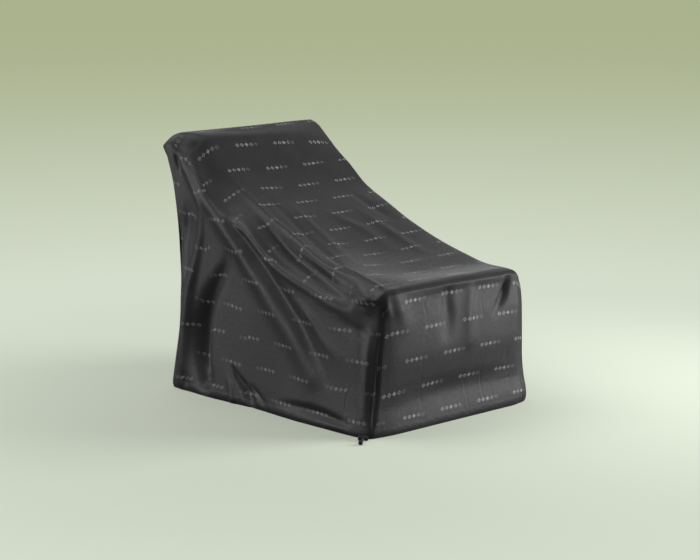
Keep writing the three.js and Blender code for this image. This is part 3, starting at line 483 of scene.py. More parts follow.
@dataclass
class CoverCloth:
    """The three panels of the cover, sewn edge to edge and hung in their folds.

    Lengths are in millimetres. The seam's points are shared by the centre panel and a side panel.
    """

    front_cells: int = 80
    top_cells: int = 190
    across_cells: int = 118
    half_thickness: float = 0.9
    seam_gap: float = 0.3
    edge_blend: float = 2
    curl_height: float = 16
    curl_depth: float = 5
    easing: int = 14
    rounding: int = 12
    round_cells: int = 12
    round_fade: float = 0.06

    def build(self) -> dict:
        """Lays the panels out and pushes them into their folds.

        Returns:
            The panels by name: centre, left and right.
        """
        centre = self.centre_grid()
        panels = {
            "centre": Panel("centre", centre, -1),
            "left": Panel("left", self.side_grid("left", centre), 1),
            "right": Panel("right", self.side_grid("right", centre), -1),
        }
        self.ease(centre, self.easing)
        self.round_over(centre[:, ::-1], panels["left"].grid)
        self.round_over(centre, panels["right"].grid)
        normals = self.shared_normals(panels)
        for name, panel in panels.items():
            push = self.relief(panel.grid, normals[name])
            panel.grid = panel.grid + push[..., None] * normals[name]
        return panels

    def relief(self, points: Array, normals: Array) -> Array:
        """Adds up how far the folds, the creases and the turned hem push each point outwards.

        Args:
            points: The points of a panel.
            normals: Its outward normals.

        Returns:
            The push at each point.
        """
        flat, outwards = points.reshape(-1, 3), normals.reshape(-1, 3)
        push = sum(line.push(flat, outwards) for line in FOLDS).reshape(points.shape[:-1])
        low = np.clip(1 - points[..., 2] / self.curl_height, 0, 1)
        return push - self.curl_depth * low**2

    def centre_grid(self) -> Array:
        """Lays out the centre panel.

        Returns:
            Its points: rows from the front hem to the rear hem, columns from the left seam to the right.
        """
        rails = np.array(
            [[s.left_seam, s.left_edge, (0, *s.mid), s.right_edge, s.right_seam] for s in SECTIONS], float
        )
        along = run(rails[:, 2])
        names = [section.name for section in SECTIONS]
        front, rear = (along[names.index(name)] for name in (FRONT_CORNER, REAR_CORNER))
        mid = Track(along, rails[:, 2])
        stops = np.concatenate([
            mid.stops(0, front, self.front_cells),
            mid.stops(front, rear, self.top_cells, 1)[1:],
            mid.stops(rear, along[-1], self.front_cells)[1:],
        ])
        rows = np.stack([Track(along, rails[:, k])(stops) for k in range(rails.shape[1])], axis=1)
        sections = [Track(run(row), row) for row in rows]
        grid = [section(section.stops(0, section.at[-1], self.across_cells, 0)) for section in sections]
        return np.array(grid)

    def side_grid(self, side: str, centre: Array) -> Array:
        """Lays out a side panel between the hem on the floor and the centre panel's edge.

        Args:
            side: "left" or "right".
            centre: The centre panel's grid.

        Returns:
            Its points: rows from the hem up to the seam, columns from front to rear.
        """
        seam = centre[:, 0 if side == "left" else -1]
        front_corner, rear_corner = self.front_cells, self.front_cells + self.top_cells
        front, rear = seam[: front_corner + 1], seam[rear_corner:][::-1]
        top = seam[front_corner : rear_corner + 1]
        outline = np.array([(x, y, 0) for x, y in SIDE_HEMS[side]], float)
        track = Track(run(outline), outline)
        hem = track(track.stops(0, track.at[-1], self.top_cells, 1))
        back = np.linspace(0, 1, self.top_cells + 1)[None, :]
        rise_front, rise_rear = ((edge[:, 2] / edge[-1, 2])[:, None] for edge in (front, rear))
        rise = rise_front * (1 - back) + rise_rear * back
        below = (1 - rise) * top[:, 2][None, :] / SHOULDER_BELOW
        low, high = SHOULDERS[side]
        most = low + (high - low) * smoothstep(*SHOULDER_CHANGE, back)
        inside = smoothstep(0, SHOULDER_FADE, back) * smoothstep(0, SHOULDER_FADE, 1 - back)
        swell = most * inside * below * np.exp(1 - below)
        grid = hem[None] * (1 - rise[..., None]) + top[None] * rise[..., None]
        for edge, height, share in ((front, rise_front, 1 - back), (rear, rise_rear, back)):
            shape = edge - (edge[0] + (edge[-1] - edge[0]) * height)
            grid += shape[:, None] * (share**self.edge_blend)[..., None]
        grid[..., 0] += -swell if side == "left" else swell
        return grid

    def ease(self, band: Array, times: int) -> Array:
        """Eases the bends of each row in place, with its two ends held.

        Args:
            band: Rows of points.
            times: How many times each point moves halfway to the middle of its neighbours.

        Returns:
            The same rows.
        """
        for _ in range(times):
            band[:, 1:-1] += ((band[:, :-2] + band[:, 2:]) / 2 - band[:, 1:-1]) / 2
        return band

    def round_over(self, centre: Array, side: Array) -> None:
        """Rounds the cloth over the seam above a side, in place.

        Args:
            centre: The centre panel's grid, whose last column is the seam.
            side: The side panel's grid, whose last row is the seam.
        """
        rows = np.s_[self.front_cells : self.front_cells + self.top_cells + 1]
        reach = self.round_cells
        inner = centre[rows, -1 - reach :]
        outer = side[-1 - reach : -1][::-1].transpose(1, 0, 2)
        band = np.concatenate([inner, outer], axis=1)
        back = np.linspace(0, 1, self.top_cells + 1)[:, None, None]
        fade = smoothstep(0, self.round_fade, back) * smoothstep(0, self.round_fade, 1 - back)
        band += (self.ease(band.copy(), self.rounding) - band) * fade
        centre[rows, -1 - reach :] = band[:, : reach + 1]
        side[-1 - reach :] = band[:, reach:][:, ::-1].transpose(1, 0, 2)

    def shared_normals(self, panels: dict) -> dict:
        """Gives two panels the same normal along their seam, and keeps the hem's normals level.

        Args:
            panels: The panels by name.

        Returns:
            The normals of each panel by name.
        """
        normals = {name: panel.normals() for name, panel in panels.items()}
        rows = np.arange(2 * self.front_cells + self.top_cells + 1)
        p = np.clip(rows - self.front_cells, 0, self.top_cells)
        q = np.minimum(np.minimum(rows, self.front_cells), rows[-1] - rows)
        for side, column in (("left", 0), ("right", -1)):
            shared = unit(normals["centre"][rows, column] + normals[side][q, p])
            normals["centre"][rows, column] = shared
            normals[side][q, p] = shared
        for name, panel in panels.items():
            normals[name][panel.grid[..., 2] < 1e-6, 2] = 0
            normals[name] = unit(normals[name])
        return normals

    def drawn_back(self, panel: Panel) -> Array:
        """Returns a panel's grid with its sewn edges drawn back by half the seam's gap."""
        grid = panel.grid.copy()
        edges = [(np.s_[:, 0], np.s_[:, 1]), (np.s_[:, -1], np.s_[:, -2])]
        if panel.name != "centre":
            edges.append((np.s_[-1, :], np.s_[-2, :]))
        for edge, inner in edges:
            grid[edge] += unit(panel.grid[inner] - panel.grid[edge]) * self.seam_gap / 2
        grid[..., 2] = np.maximum(grid[..., 2], 0)
        return grid

    def inset_row(self, lines: Array, normals: Array, distance: float) -> tuple:
        """Lays a row on the cloth's face, a distance in from an edge.

        Args:
            lines: Lines of points that each start at the edge.
            normals: The outward normals there.
            distance: How far in from the edge the row lies.

        Returns:
            The row's points in metres, and the outward normals there.
        """
        points, outwards = [], []
        for line, normal in zip(lines, normals):
            along = run(line)
            k = int(np.searchsorted(along, distance))
            f = (distance - along[k - 1]) / (along[k] - along[k - 1])
            outwards.append(unit(normal[k - 1] * (1 - f) + normal[k] * f))
            points.append(line[k - 1] * (1 - f) + line[k] * f + outwards[-1] * self.half_thickness)
        return np.array(points) * MM, np.array(outwards)


# ---- Meshes ----


def new_object(name: str, points: Array, faces: list, finish: Material, smooth: bool = True) -> Object:
    """Makes an object at the origin from points and faces.

    Args:
        name: The object's name.
        points: Its points in metres.
        faces: Its faces as lists of point numbers, turned outwards.
        finish: Its material.
        smooth: Whether it is shaded smooth, apart from its sharp edges.

    Returns:
        The object, linked to the scene.
    """
    mesh = bpy.data.meshes.new(name)
    mesh.from_pydata(points.tolist(), [], faces)
    mesh.validate()
    if smooth:
        mesh.shade_smooth()
        mesh.set_sharp_from_angle(angle=math.radians(50))
    mesh.materials.append(finish)
    piece = bpy.data.objects.new(name, mesh)
    bpy.context.scene.collection.objects.link(piece)
    return piece


def lay_flat(piece: Object, name: str, flat: Array) -> None:
    """Gives a piece a layer of flat coordinates, from a pair in metres for each of its points."""
    corners = np.empty(len(piece.data.loops), np.int32)
    piece.data.loops.foreach_get("vertex_index", corners)
    piece.data.uv_layers.new(name=name).data.foreach_set("uv", flat[corners].ravel())


def quads(*corners: Array) -> Array:
    """Returns the faces of cells, from the numbers of their first, second, third and fourth corners."""
    return np.stack([corner.ravel() for corner in corners], axis=1)


def declare(piece: Object, node: str | None = None) -> Object:
    """Attaches a piece to the root body, hides the solid that it stands for, and reports it.

    Args:
        piece: The piece.
        node: The solid that it stands for, or None for an added piece.

    Returns:
        The piece.
    """
    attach(piece, "root")
    if node:
        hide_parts(node)
    LOG.info("%s: %d faces", piece.name, len(piece.data.polygons))
    return piece


def sheet_object(cloth: CoverCloth, panel: Panel, normals: Array, finish: Material) -> Object:
    """Closes a panel's grid into a thin sheet, with its flat coordinates and its distances from seam and hem.

    Args:
        cloth: The cover's cloth, for its thickness and edges.
        panel: The panel.
        normals: The panel's outward normals.
        finish: The sheet's material.

    Returns:
        The sheet's object.
    """
    grid = cloth.drawn_back(panel)
    layers = [grid + normals * cloth.half_thickness, grid - normals * cloth.half_thickness]
    count = grid[..., 0].size
    outer = np.arange(count).reshape(grid.shape[:2])
    inner = outer + count
    rim = np.concatenate([outer[0, :-1], outer[:-1, -1], outer[-1, :0:-1], outer[:0:-1, 0]])
    faces = np.vstack([
        quads(outer[:-1, :-1], outer[1:, :-1], outer[1:, 1:], outer[:-1, 1:]),
        quads(inner[:-1, :-1], inner[:-1, 1:], inner[1:, 1:], inner[1:, :-1]),
        quads(rim, np.roll(rim, -1), np.roll(rim, -1) + count, rim + count),
    ])[:, :: panel.turn]
    points = np.vstack([layer.reshape(-1, 3) for layer in layers]) * MM
    piece = new_object(f"{panel.name}_cloth", points, faces.tolist(), finish)
    lay_flat(piece, "flat_cloth", np.tile(panel.flat_cloth().reshape(-1, 2), (2, 1)))
    for distance in (panel.seam_distance, panel.hem_distance):
        values = np.tile(distance().ravel(), 2)
        piece.data.attributes.new(distance.__name__, "FLOAT", "POINT").data.foreach_set("value", values)
    return piece


# ---- Finishes ----


class NodeBuilder:
    """A node tree, with short ways to add its nodes."""

    def __init__(self, tree: bpy.types.NodeTree) -> None:
        """Works on a tree."""
        self.tree = tree

    def node(self, kind: str, settings: dict | None = None, **inputs: object) -> bpy.types.Node:
        """Adds a node.

        Args:
            kind: The node's type.
            settings: Properties to set on it.
            **inputs: Values or sockets for its inputs, by name with _ for a space.

        Returns:
            The node.
        """
        made = self.tree.nodes.new(kind)
        for key, value in (settings or {}).items():
            setattr(made, key, value)
        self.feed(made, **inputs)
        return made

    def feed(self, node: bpy.types.Node, **inputs: object) -> None:
        """Gives a node's inputs values or links, by name with _ for a space."""
        for name, value in inputs.items():
            self.join(node.inputs[name.replace("_", " ")], value)

    def join(self, socket: Socket, value: object) -> None:
        """Gives an input a value, or links it to a socket."""
        if isinstance(value, Socket):
            self.tree.links.new(value, socket)
        else:
            socket.default_value = value

    def math(self, operation: str, *values: object) -> Socket:
        """Returns the result of a Math node's operation on numbers or sockets."""
        made = self.node("ShaderNodeMath", {"operation": operation})
        for socket, value in zip(made.inputs, values):
            self.join(socket, value)
        return made.outputs[0]

    def add(self, *values: object) -> Socket:
        """Returns the sum of numbers or sockets."""
        return reduce(lambda a, b: self.math("ADD", a, b), values)

    def times(self, *values: object) -> Socket:
        """Returns the product of numbers or sockets."""
        return reduce(lambda a, b: self.math("MULTIPLY", a, b), values)


class Shader(NodeBuilder):
    """A material's node tree."""

    def __init__(self, name: str) -> None:
        """Starts a material with an output and a principled shader."""
        self.material = bpy.data.materials.new(name)
        self.material.use_nodes = True
        super().__init__(self.material.node_tree)

    def finish(self, **inputs: object) -> Material:
        """Gives the principled shader its inputs, by name with _ for a space, and returns the material."""
        self.feed(self.tree.nodes["Principled BSDF"], **inputs)
        return self.material

    def place(self, layer: str | None = None) -> Socket:
        """Returns a layer of flat coordinates, or the object's own coordinates."""
        if layer:
            return self.node("ShaderNodeUVMap", {"uv_map": layer}).outputs["UV"]
        return self.node("ShaderNodeTexCoord").outputs["Object"]

    def flat_parts(self, place: Socket) -> tuple:
        """Returns the first two parts of a place."""
        parts = self.node("ShaderNodeSeparateXYZ", None, Vector=place)
        return parts.outputs["X"], parts.outputs["Y"]

    def attribute(self, name: str) -> Socket:
        """Returns a number that the mesh carries."""
        return self.node("ShaderNodeAttribute", {"attribute_name": name}).outputs["Fac"]

    def ramp(self, value: object, low: float, high: float, start: float = 0, end: float = 1) -> Socket:
        """Returns a smooth step of a value from low to high, running from start to end."""
        made = self.node("ShaderNodeMapRange", {"interpolation_type": "SMOOTHSTEP"}, Value=value,
                         From_Min=low, From_Max=high, To_Min=start, To_Max=end)
        return made.outputs["Result"]

    def noise(self, vector: object, scale: float, detail: float = 2) -> Socket:
        """Returns soft noise of a scale per metre."""
        return self.node("ShaderNodeTexNoise", None, Vector=vector, Scale=scale, Detail=detail).outputs["Fac"]

    def blend(self, factor: object, first: object, second: object) -> Socket:
        """Returns a mix of two colours."""
        made = self.node("ShaderNodeMix", {"data_type": "RGBA"}, Factor=factor)
        self.join(made.inputs[6], first)
        self.join(made.inputs[7], second)
        return made.outputs[2]

    def bump(self, height: object, distance: float, normal: Socket | None = None) -> Socket:
        """Returns normals raised by a height of 0 to 1 over a distance in metres."""
        below = {"Normal": normal} if normal else {}
        made = self.node("ShaderNodeBump", None, Strength=1.0, Distance=distance, Height=height, **below)
        return made.outputs["Normal"]


def grey(value: float) -> tuple:
    """Returns a linear grey with alpha."""
    return (value, value, value, 1.0)


@dataclass(frozen=True)
class CoatedCloth:
    """Charcoal polyester with a matt coating: fine weave, a faint crinkle and a repeated printed motif.

    Sizes are in metres. The motif is a row of small lozenges, the last ones fainter, in a half drop. Its
    lozenges are hollow but for the middle one. A felled seam, its turned allowance and the hem's channel
    stand up from the cloth, with puckers and gathers beside them.
    """

    name: str = "coated_cloth"
    dark: float = 0.016
    light: float = 0.021
    roughness: float = 0.46
    thread: float = 0.0011
    pitch: tuple = (0.150, 0.082)
    lozenge: tuple = (0.0180, 0.0150)
    lozenges: int = 5
    ink: float = 0.26
    felled: float = 0.0030
    allowance: tuple = (0.0130, 0.0155)
    channel: tuple = (0.0225, 0.0265)

    def build(self) -> Material:
        """Returns the material."""
        s = Shader(self.name)
        uv = s.place("flat_cloth")
        u, v = s.flat_parts(uv)
        mottle, crinkle, grain = s.noise(uv, 14, 3), s.noise(uv, 95, 4), s.noise(uv, 900, 1)
        tone = s.add(s.times(mottle, 0.6), s.times(crinkle, 0.4))
        cloth = s.blend(s.ramp(tone, 0.3, 0.7), grey(self.dark), grey(self.light))
        worn = s.times(self.motif(s, u, v), s.ramp(s.noise(uv, 260, 2), 0.3, 0.62, 0.55, 1.0))
        rough = s.ramp(crinkle, 0.3, 0.7, self.roughness - 0.04, self.roughness + 0.05)
        warp, weft = (s.math("SINE", s.times(place, 2 * math.pi / self.thread)) for place in (u, v))
        weave = s.add(s.times(warp, weft, 0.5), 0.5)
        normal = s.bump(s.add(weave, s.times(grain, 0.6)), 0.00006, s.bump(crinkle, 0.0004))
        return s.finish(
            Base_Color=s.blend(worn, cloth, grey(self.ink)), Roughness=s.add(rough, s.times(worn, -0.08)),
            Sheen_Weight=0.06, Sheen_Roughness=0.4, Specular_IOR_Level=0.45,
            Normal=s.bump(self.sewn_relief(s, uv), 0.0006, normal),
        )

    def sewn_relief(self, s: Shader, uv: Socket) -> Socket:
        """Raises the cloth along its seams and hem.

        Args:
            s: The shader that it goes into.
            uv: The place on the flat cloth.

        Returns:
            The height at each place.
        """
        seam, hem = s.attribute("seam_distance"), s.attribute("hem_distance")
        felled = s.ramp(seam, 0.0, self.felled, 0.0, 0.45)
        folded = s.ramp(seam, *self.allowance, 0.22, 0.0)
        puckers = s.times(s.noise(uv, 130, 1), s.ramp(seam, 0.004, 0.03, 0.5, 0.0))
        channel = s.ramp(hem, *self.channel, 0.5, 0.0)
        gathers = s.times(s.noise(uv, 75, 2), s.ramp(hem, 0.018, 0.05, 1.6, 0.0))
        return s.add(felled, folded, puckers, s.add(channel, gathers))

    def motif(self, s: Shader, u: Socket, v: Socket) -> Socket:
        """Draws the print.

        Args:
            s: The shader that it goes into.
            u: The place across the flat cloth, in metres.
            v: The place along it.

        Returns:
            How much ink lies at each place, from 0 to 1.
        """
        row = s.math("DIVIDE", v, self.pitch[1])
        drop = s.times(s.math("PINGPONG", s.math("FLOOR", row), 1.0), 0.5)
        column = s.add(s.math("DIVIDE", u, self.pitch[0]), drop)
        x, y = (s.times(s.math("SUBTRACT", s.math("FRACT", cell), 0.5), pitch)
                for cell, pitch in zip((column, row), self.pitch))
        step = s.add(s.math("DIVIDE", x, self.lozenge[0]), self.lozenges / 2)
        place, index = s.math("SUBTRACT", s.math("FRACT", step), 0.5), s.math("FLOOR", step)
        size = s.add(s.math("ABSOLUTE", place), s.math("DIVIDE", s.math("ABSOLUTE", y), self.lozenge[1]))
        solid = s.ramp(size, 0.36, 0.44, 1.0, 0.0)
        ring = s.times(solid, s.ramp(size, 0.16, 0.22, 0.0, 1.0))
        from_middle = s.math("ABSOLUTE", s.math("SUBTRACT", index, (self.lozenges - 1) / 2))
        shape = s.node("ShaderNodeMix", {"data_type": "FLOAT"},
                       Factor=s.math("GREATER_THAN", from_middle, 0.5), A=solid, B=ring)
        inside = s.math("LESS_THAN", s.math("ABSOLUTE", x), self.lozenge[0] * self.lozenges / 2)
        return s.times(shape.outputs["Result"], inside, s.ramp(index, 2.5, 3.5, 0.8, 0.3))


@dataclass(frozen=True)
class Thread:
    """Twisted polyester sewing thread."""

    name: str = "seam_thread"
    colour: float = 0.022

    def build(self) -> Material:
        """Returns the material."""
        s = Shader(self.name)
        twist = s.node("ShaderNodeTexWave", None, Vector=s.place(), Scale=900.0, Distortion=3.0).outputs["Fac"]
        return s.finish(Base_Color=s.blend(twist, grey(self.colour * 0.7), grey(self.colour * 1.4)),
                        Roughness=s.ramp(twist, 0, 1, 0.5, 0.7), Normal=s.bump(twist, 0.0001))


@dataclass(frozen=True)
class BraidedCord:
    """Round braided polyester cord; its pattern follows the cord's own flat coordinates, in metres."""

    name: str = "braided_cord"
    colour: float = 0.018
    plait: float = 0.0016

    def build(self) -> Material:
        """Returns the material."""
        s = Shader(self.name)
        uv = s.place("flat_cord")
        u, v = (s.times(part, 2 * math.pi / self.plait) for part in s.flat_parts(uv))
        one, two = (s.math("ABSOLUTE", s.math("SINE", s.math(way, u, v))) for way in ("ADD", "SUBTRACT"))
        plait, fuzz = s.math("MAXIMUM", one, two), s.noise(uv, 2200, 2)
        tone = s.times(plait, fuzz)
        return s.finish(Base_Color=s.blend(tone, grey(self.colour * 0.5), grey(self.colour * 1.7)),
                        Roughness=s.ramp(fuzz, 0.3, 0.7, 0.6, 0.85), Normal=s.bump(plait, 0.0004),
                        Sheen_Weight=0.2)


@dataclass(frozen=True)
class MouldedPlastic:
    """Black moulded plastic with a fine spark texture and lightly rubbed patches."""

    name: str = "moulded_plastic"
    colour: float = 0.012

    def build(self) -> Material:
        """Returns the material."""
        s = Shader(self.name)
        place = s.place()
        rub = s.noise(place, 240, 3)
        return s.finish(Base_Color=s.blend(s.ramp(rub, 0.45, 0.7), grey(self.colour), grey(self.colour * 2.2)),
                        Roughness=s.ramp(rub, 0.3, 0.7, 0.34, 0.5),
                        Normal=s.bump(s.noise(place, 2600, 2), 0.00005))


# ---- Sub-assemblies ----


class Lamp(NamedTuple):
    """A soft lamp: its name, the way from the cover to it and its size in metres, and its power in watts."""

    name: str
    towards: tuple
    size: tuple
    power: float
    mirrored: bool = True  # whether glossy cloth mirrors it


LAMPS = (
    Lamp("key_lamp", (2.4, -2.0, 0.75), (1.9, 1.5), 135, mirrored=False),
    Lamp("front_card", (2.3, -2.3, 0.0), (2.4, 0.66), 34),
    Lamp("rear_left_lamp", (-2.7, 2.1, 0.4), (2.4, 1.4), 32),
    Lamp("overhead_lamp", (-0.9, 1.3, 2.6), (2.2, 2.2), 36),
    Lamp("rear_right_lamp", (2.2, 3.4, 0.7), (3.0, 1.2), 25),
)


@dataclass
class Studio:
    """The camera, a pale sage floor and soft light round it. None of it is part of the cover."""

    target: tuple = (0.008, -0.015, 0.342)
    distance: float = 6.15
    azimuth: float = -43.95
    elevation: float = 10.45
    lens: float = 108
    floor_radius: float = 60
    # The floor's paint: lighter near the cover, darker far off as a painted falloff of light, and glowing to
    # camera rays as painted light.
    near_colour: tuple = (0.665, 0.723, 0.604)
    far_colour: tuple = (0.402, 0.445, 0.271)
    painted_falloff: tuple = (0.47, 2.9)  # from the near colour to the far one, in the logarithm of metres
    shadow_ends: tuple = (0.7, 2.0)
    painted_glow: float = 0.25
    bounce: float = 0.15
    room: float = 0.28

    def place(self, item: Object, away: Vector) -> Object:
        """Links a lamp or camera, away from the target and turned to look at it."""
        item.location = Vector(self.target) + away
        item.rotation_euler = (-away).to_track_quat("-Z", "Y").to_euler()
        bpy.context.scene.collection.objects.link(item)
        return item

    def camera(self) -> None:
        """Makes the camera and makes it the scene's own."""
        turn, rise = math.radians(self.azimuth), math.radians(self.elevation)
        away = Vector((math.sin(turn) * math.cos(rise), -math.cos(turn) * math.cos(rise), math.sin(rise)))
        data = bpy.data.cameras.new("camera")
        data.lens = self.lens
        data.sensor_width = 36
        data.clip_end = 200
        bpy.context.scene.camera = self.place(bpy.data.objects.new("camera", data), away * self.distance)

    def floor(self) -> None:
        """Makes the floor: it takes the cover's shadow near by; its paint glows to camera rays as painted
        light, and darkens with distance as a painted falloff of light.
        """
        s = Shader("floor_paint")
        length = s.node("ShaderNodeVectorMath", {"operation": "LENGTH"})
        s.join(length.inputs[0], s.place())
        away = length.outputs["Value"]
        # Painted falloff of light: the paint darkens from the near colour to the far one with distance.
        depth = s.ramp(s.math("LOGARITHM", away, math.e), *self.painted_falloff)
        paint = s.blend(depth, (*self.near_colour, 1), (*self.far_colour, 1))
        unlit = s.ramp(away, *self.shadow_ends)
        seen = s.node("ShaderNodeLightPath").outputs["Is Camera Ray"]
        # Near the cover lamps light the floor and it takes the real shadow, with a share of the paint glowing
        # over it as painted light; beyond, the floor glows with all of the paint.
        lit = s.blend(unlit, s.blend(self.painted_glow, paint, grey(0.0)), grey(0.0))
        painted_glow = s.add(s.times(unlit, 1 - self.painted_glow), self.painted_glow)
        s.finish(
            Base_Color=s.blend(seen, grey(self.bounce), lit), Roughness=1.0, Specular_IOR_Level=0.0,
            Emission_Color=paint, Emission_Strength=s.times(seen, painted_glow),
        )
        turns = np.linspace(0, 2 * math.pi, 64, endpoint=False)
        points = np.stack([np.cos(turns), np.sin(turns), 0 * turns], axis=1) * self.floor_radius
        new_object("floor", points, [list(range(len(points)))], s.material, smooth=False)

    def light(self) -> None:
        """Lights the studio from a pale room and soft lamps, and opens the view settings plainly."""
        world = bpy.data.worlds.new("studio_room")
        world.use_nodes = True
        bpy.context.scene.world = world
        n = NodeBuilder(world.node_tree)
        room, output = n.tree.nodes["Background"], n.tree.nodes["World Output"]
        n.feed(room, Color=grey(1.0), Strength=self.room)
        seen = n.node("ShaderNodeBackground", None, Color=(*self.far_colour, 1))
        path = n.node("ShaderNodeLightPath")
        mix = n.node("ShaderNodeMixShader", None, Fac=path.outputs["Is Camera Ray"])
        n.join(mix.inputs[1], room.outputs["Background"])
        n.join(mix.inputs[2], seen.outputs["Background"])
        n.feed(output, Surface=mix.outputs["Shader"])
        for lamp in LAMPS:
            data = bpy.data.lights.new(lamp.name, "AREA")
            data.shape = "RECTANGLE"
            data.size, data.size_y = lamp.size
            data.energy = lamp.power
            source = self.place(bpy.data.objects.new(lamp.name, data), Vector(lamp.towards))
            source.visible_glossy = lamp.mirrored
        bpy.context.scene.view_settings.view_transform = "Standard"


@dataclass
class DrawcordEnd:
    """The drawcord's two strands, the stop that clamps them and the knot that ends them. Millimetres."""

    route: tuple = (
        (-327.8, -414.8, 8.2), (-338, -425, 7.6), (-343, -430, 7.2),
        (-352, -439, 7.1), (-363, -447.5, 7), (-374, -455, 6.8),
    )
    spacing: float = 3.6
    diameter: float = 3
    knot_radius: float = 1.75
    stops: int = 24
    sides: int = 14

    def build(self) -> list:
        """Returns:
            The pieces made.
        """
        cord = BraidedCord().build()
        stop = bpy.data.objects["cord_stop"].data.materials
        stop.clear()
        stop.append(MouldedPlastic().build())
        knot = self.knot(cord)
        pieces = [knot]
        for number, hand in ((1, 1), (2, -1)):
            path = self.strand_path(hand)
            strand = self.tube(f"cord_strand_{number}", path, self.diameter / 2, False, cord)
            declare(strand, f"drawcord_strand_{number}")
            float(run(path)[-1])
            pieces.append(strand)
        return pieces

    def strand_path(self, hand: int) -> Array:
        """Returns the middle line of one strand in metres, beside the other by half their spacing."""
        route = np.array(self.route, float)
        level = unit(np.gradient(route, axis=0) * (1, 1, 0))
        aside = np.stack([-level[:, 1], level[:, 0], level[:, 2]], axis=1)
        return smooth_path(route + aside * hand * self.spacing / 2, self.stops) * MM

    def tube(self, name: str, path: Array, radius: float, closed: bool, cord: Material) -> Object:
        """Makes a round cord along a path.

        Args:
            name: The object's name.
            path: The middle line in metres.
            radius: The cord's radius in millimetres.
            closed: Whether the path closes on itself.
            cord: The cord's material.

        Returns:
            The cord, with flat coordinates in metres for its braid.
        """
        heading = np.roll(path, -1, axis=0) - np.roll(path, 1, axis=0) if closed else np.gradient(path, axis=0)
        heading = unit(heading)
        nearly_up = np.array([0.013, 0.013, 1.013])
        aside = unit(np.cross(heading, nearly_up))
        lift = np.cross(aside, heading)
        angles = np.linspace(0, 2 * math.pi, self.sides, endpoint=False)
        ring = np.cos(angles)[None, :, None] * aside[:, None] + np.sin(angles)[None, :, None] * lift[:, None]
        points = (path[:, None] + ring * radius * MM).reshape(-1, 3)
        here = np.arange(len(points)).reshape(-1, self.sides)
        there = np.roll(here, -1, axis=0)
        caps = []
        if not closed:
            caps = [here[0, ::-1].tolist(), here[-1].tolist()]
            here, there = here[:-1], there[:-1]
        faces = quads(here, np.roll(here, -1, axis=1), np.roll(there, -1, axis=1), there)
        piece = new_object(name, points, faces.tolist() + caps, cord)
        flat = np.stack(np.meshgrid(angles * radius * MM, run(path)), axis=-1)
        lay_flat(piece, "flat_cord", flat.reshape(-1, 2))
        return piece

    def knot(self, cord: Material) -> Object:
        """Ties both strands' ends in a tight overhand knot in the place that the model gives it.

        Args:
            cord: The cord's material.

        Returns:
            The knot.
        """
        low, high = (np.array(corner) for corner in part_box("drawcord_knot"))
        t = np.linspace(0, 2 * math.pi, 96, endpoint=False)
        turns = [np.sin(t) + 2 * np.sin(2 * t), np.cos(t) - 2 * np.cos(2 * t), -1.35 * np.sin(3 * t)]
        shape = np.stack(turns, axis=1)
        shape /= np.abs(shape).max(axis=0)
        path = (low + high) / 2 + shape * ((high - low) / 2 - self.knot_radius * MM)
        return declare(self.tube("cord_knot", path, self.knot_radius, True, cord), "drawcord_knot")


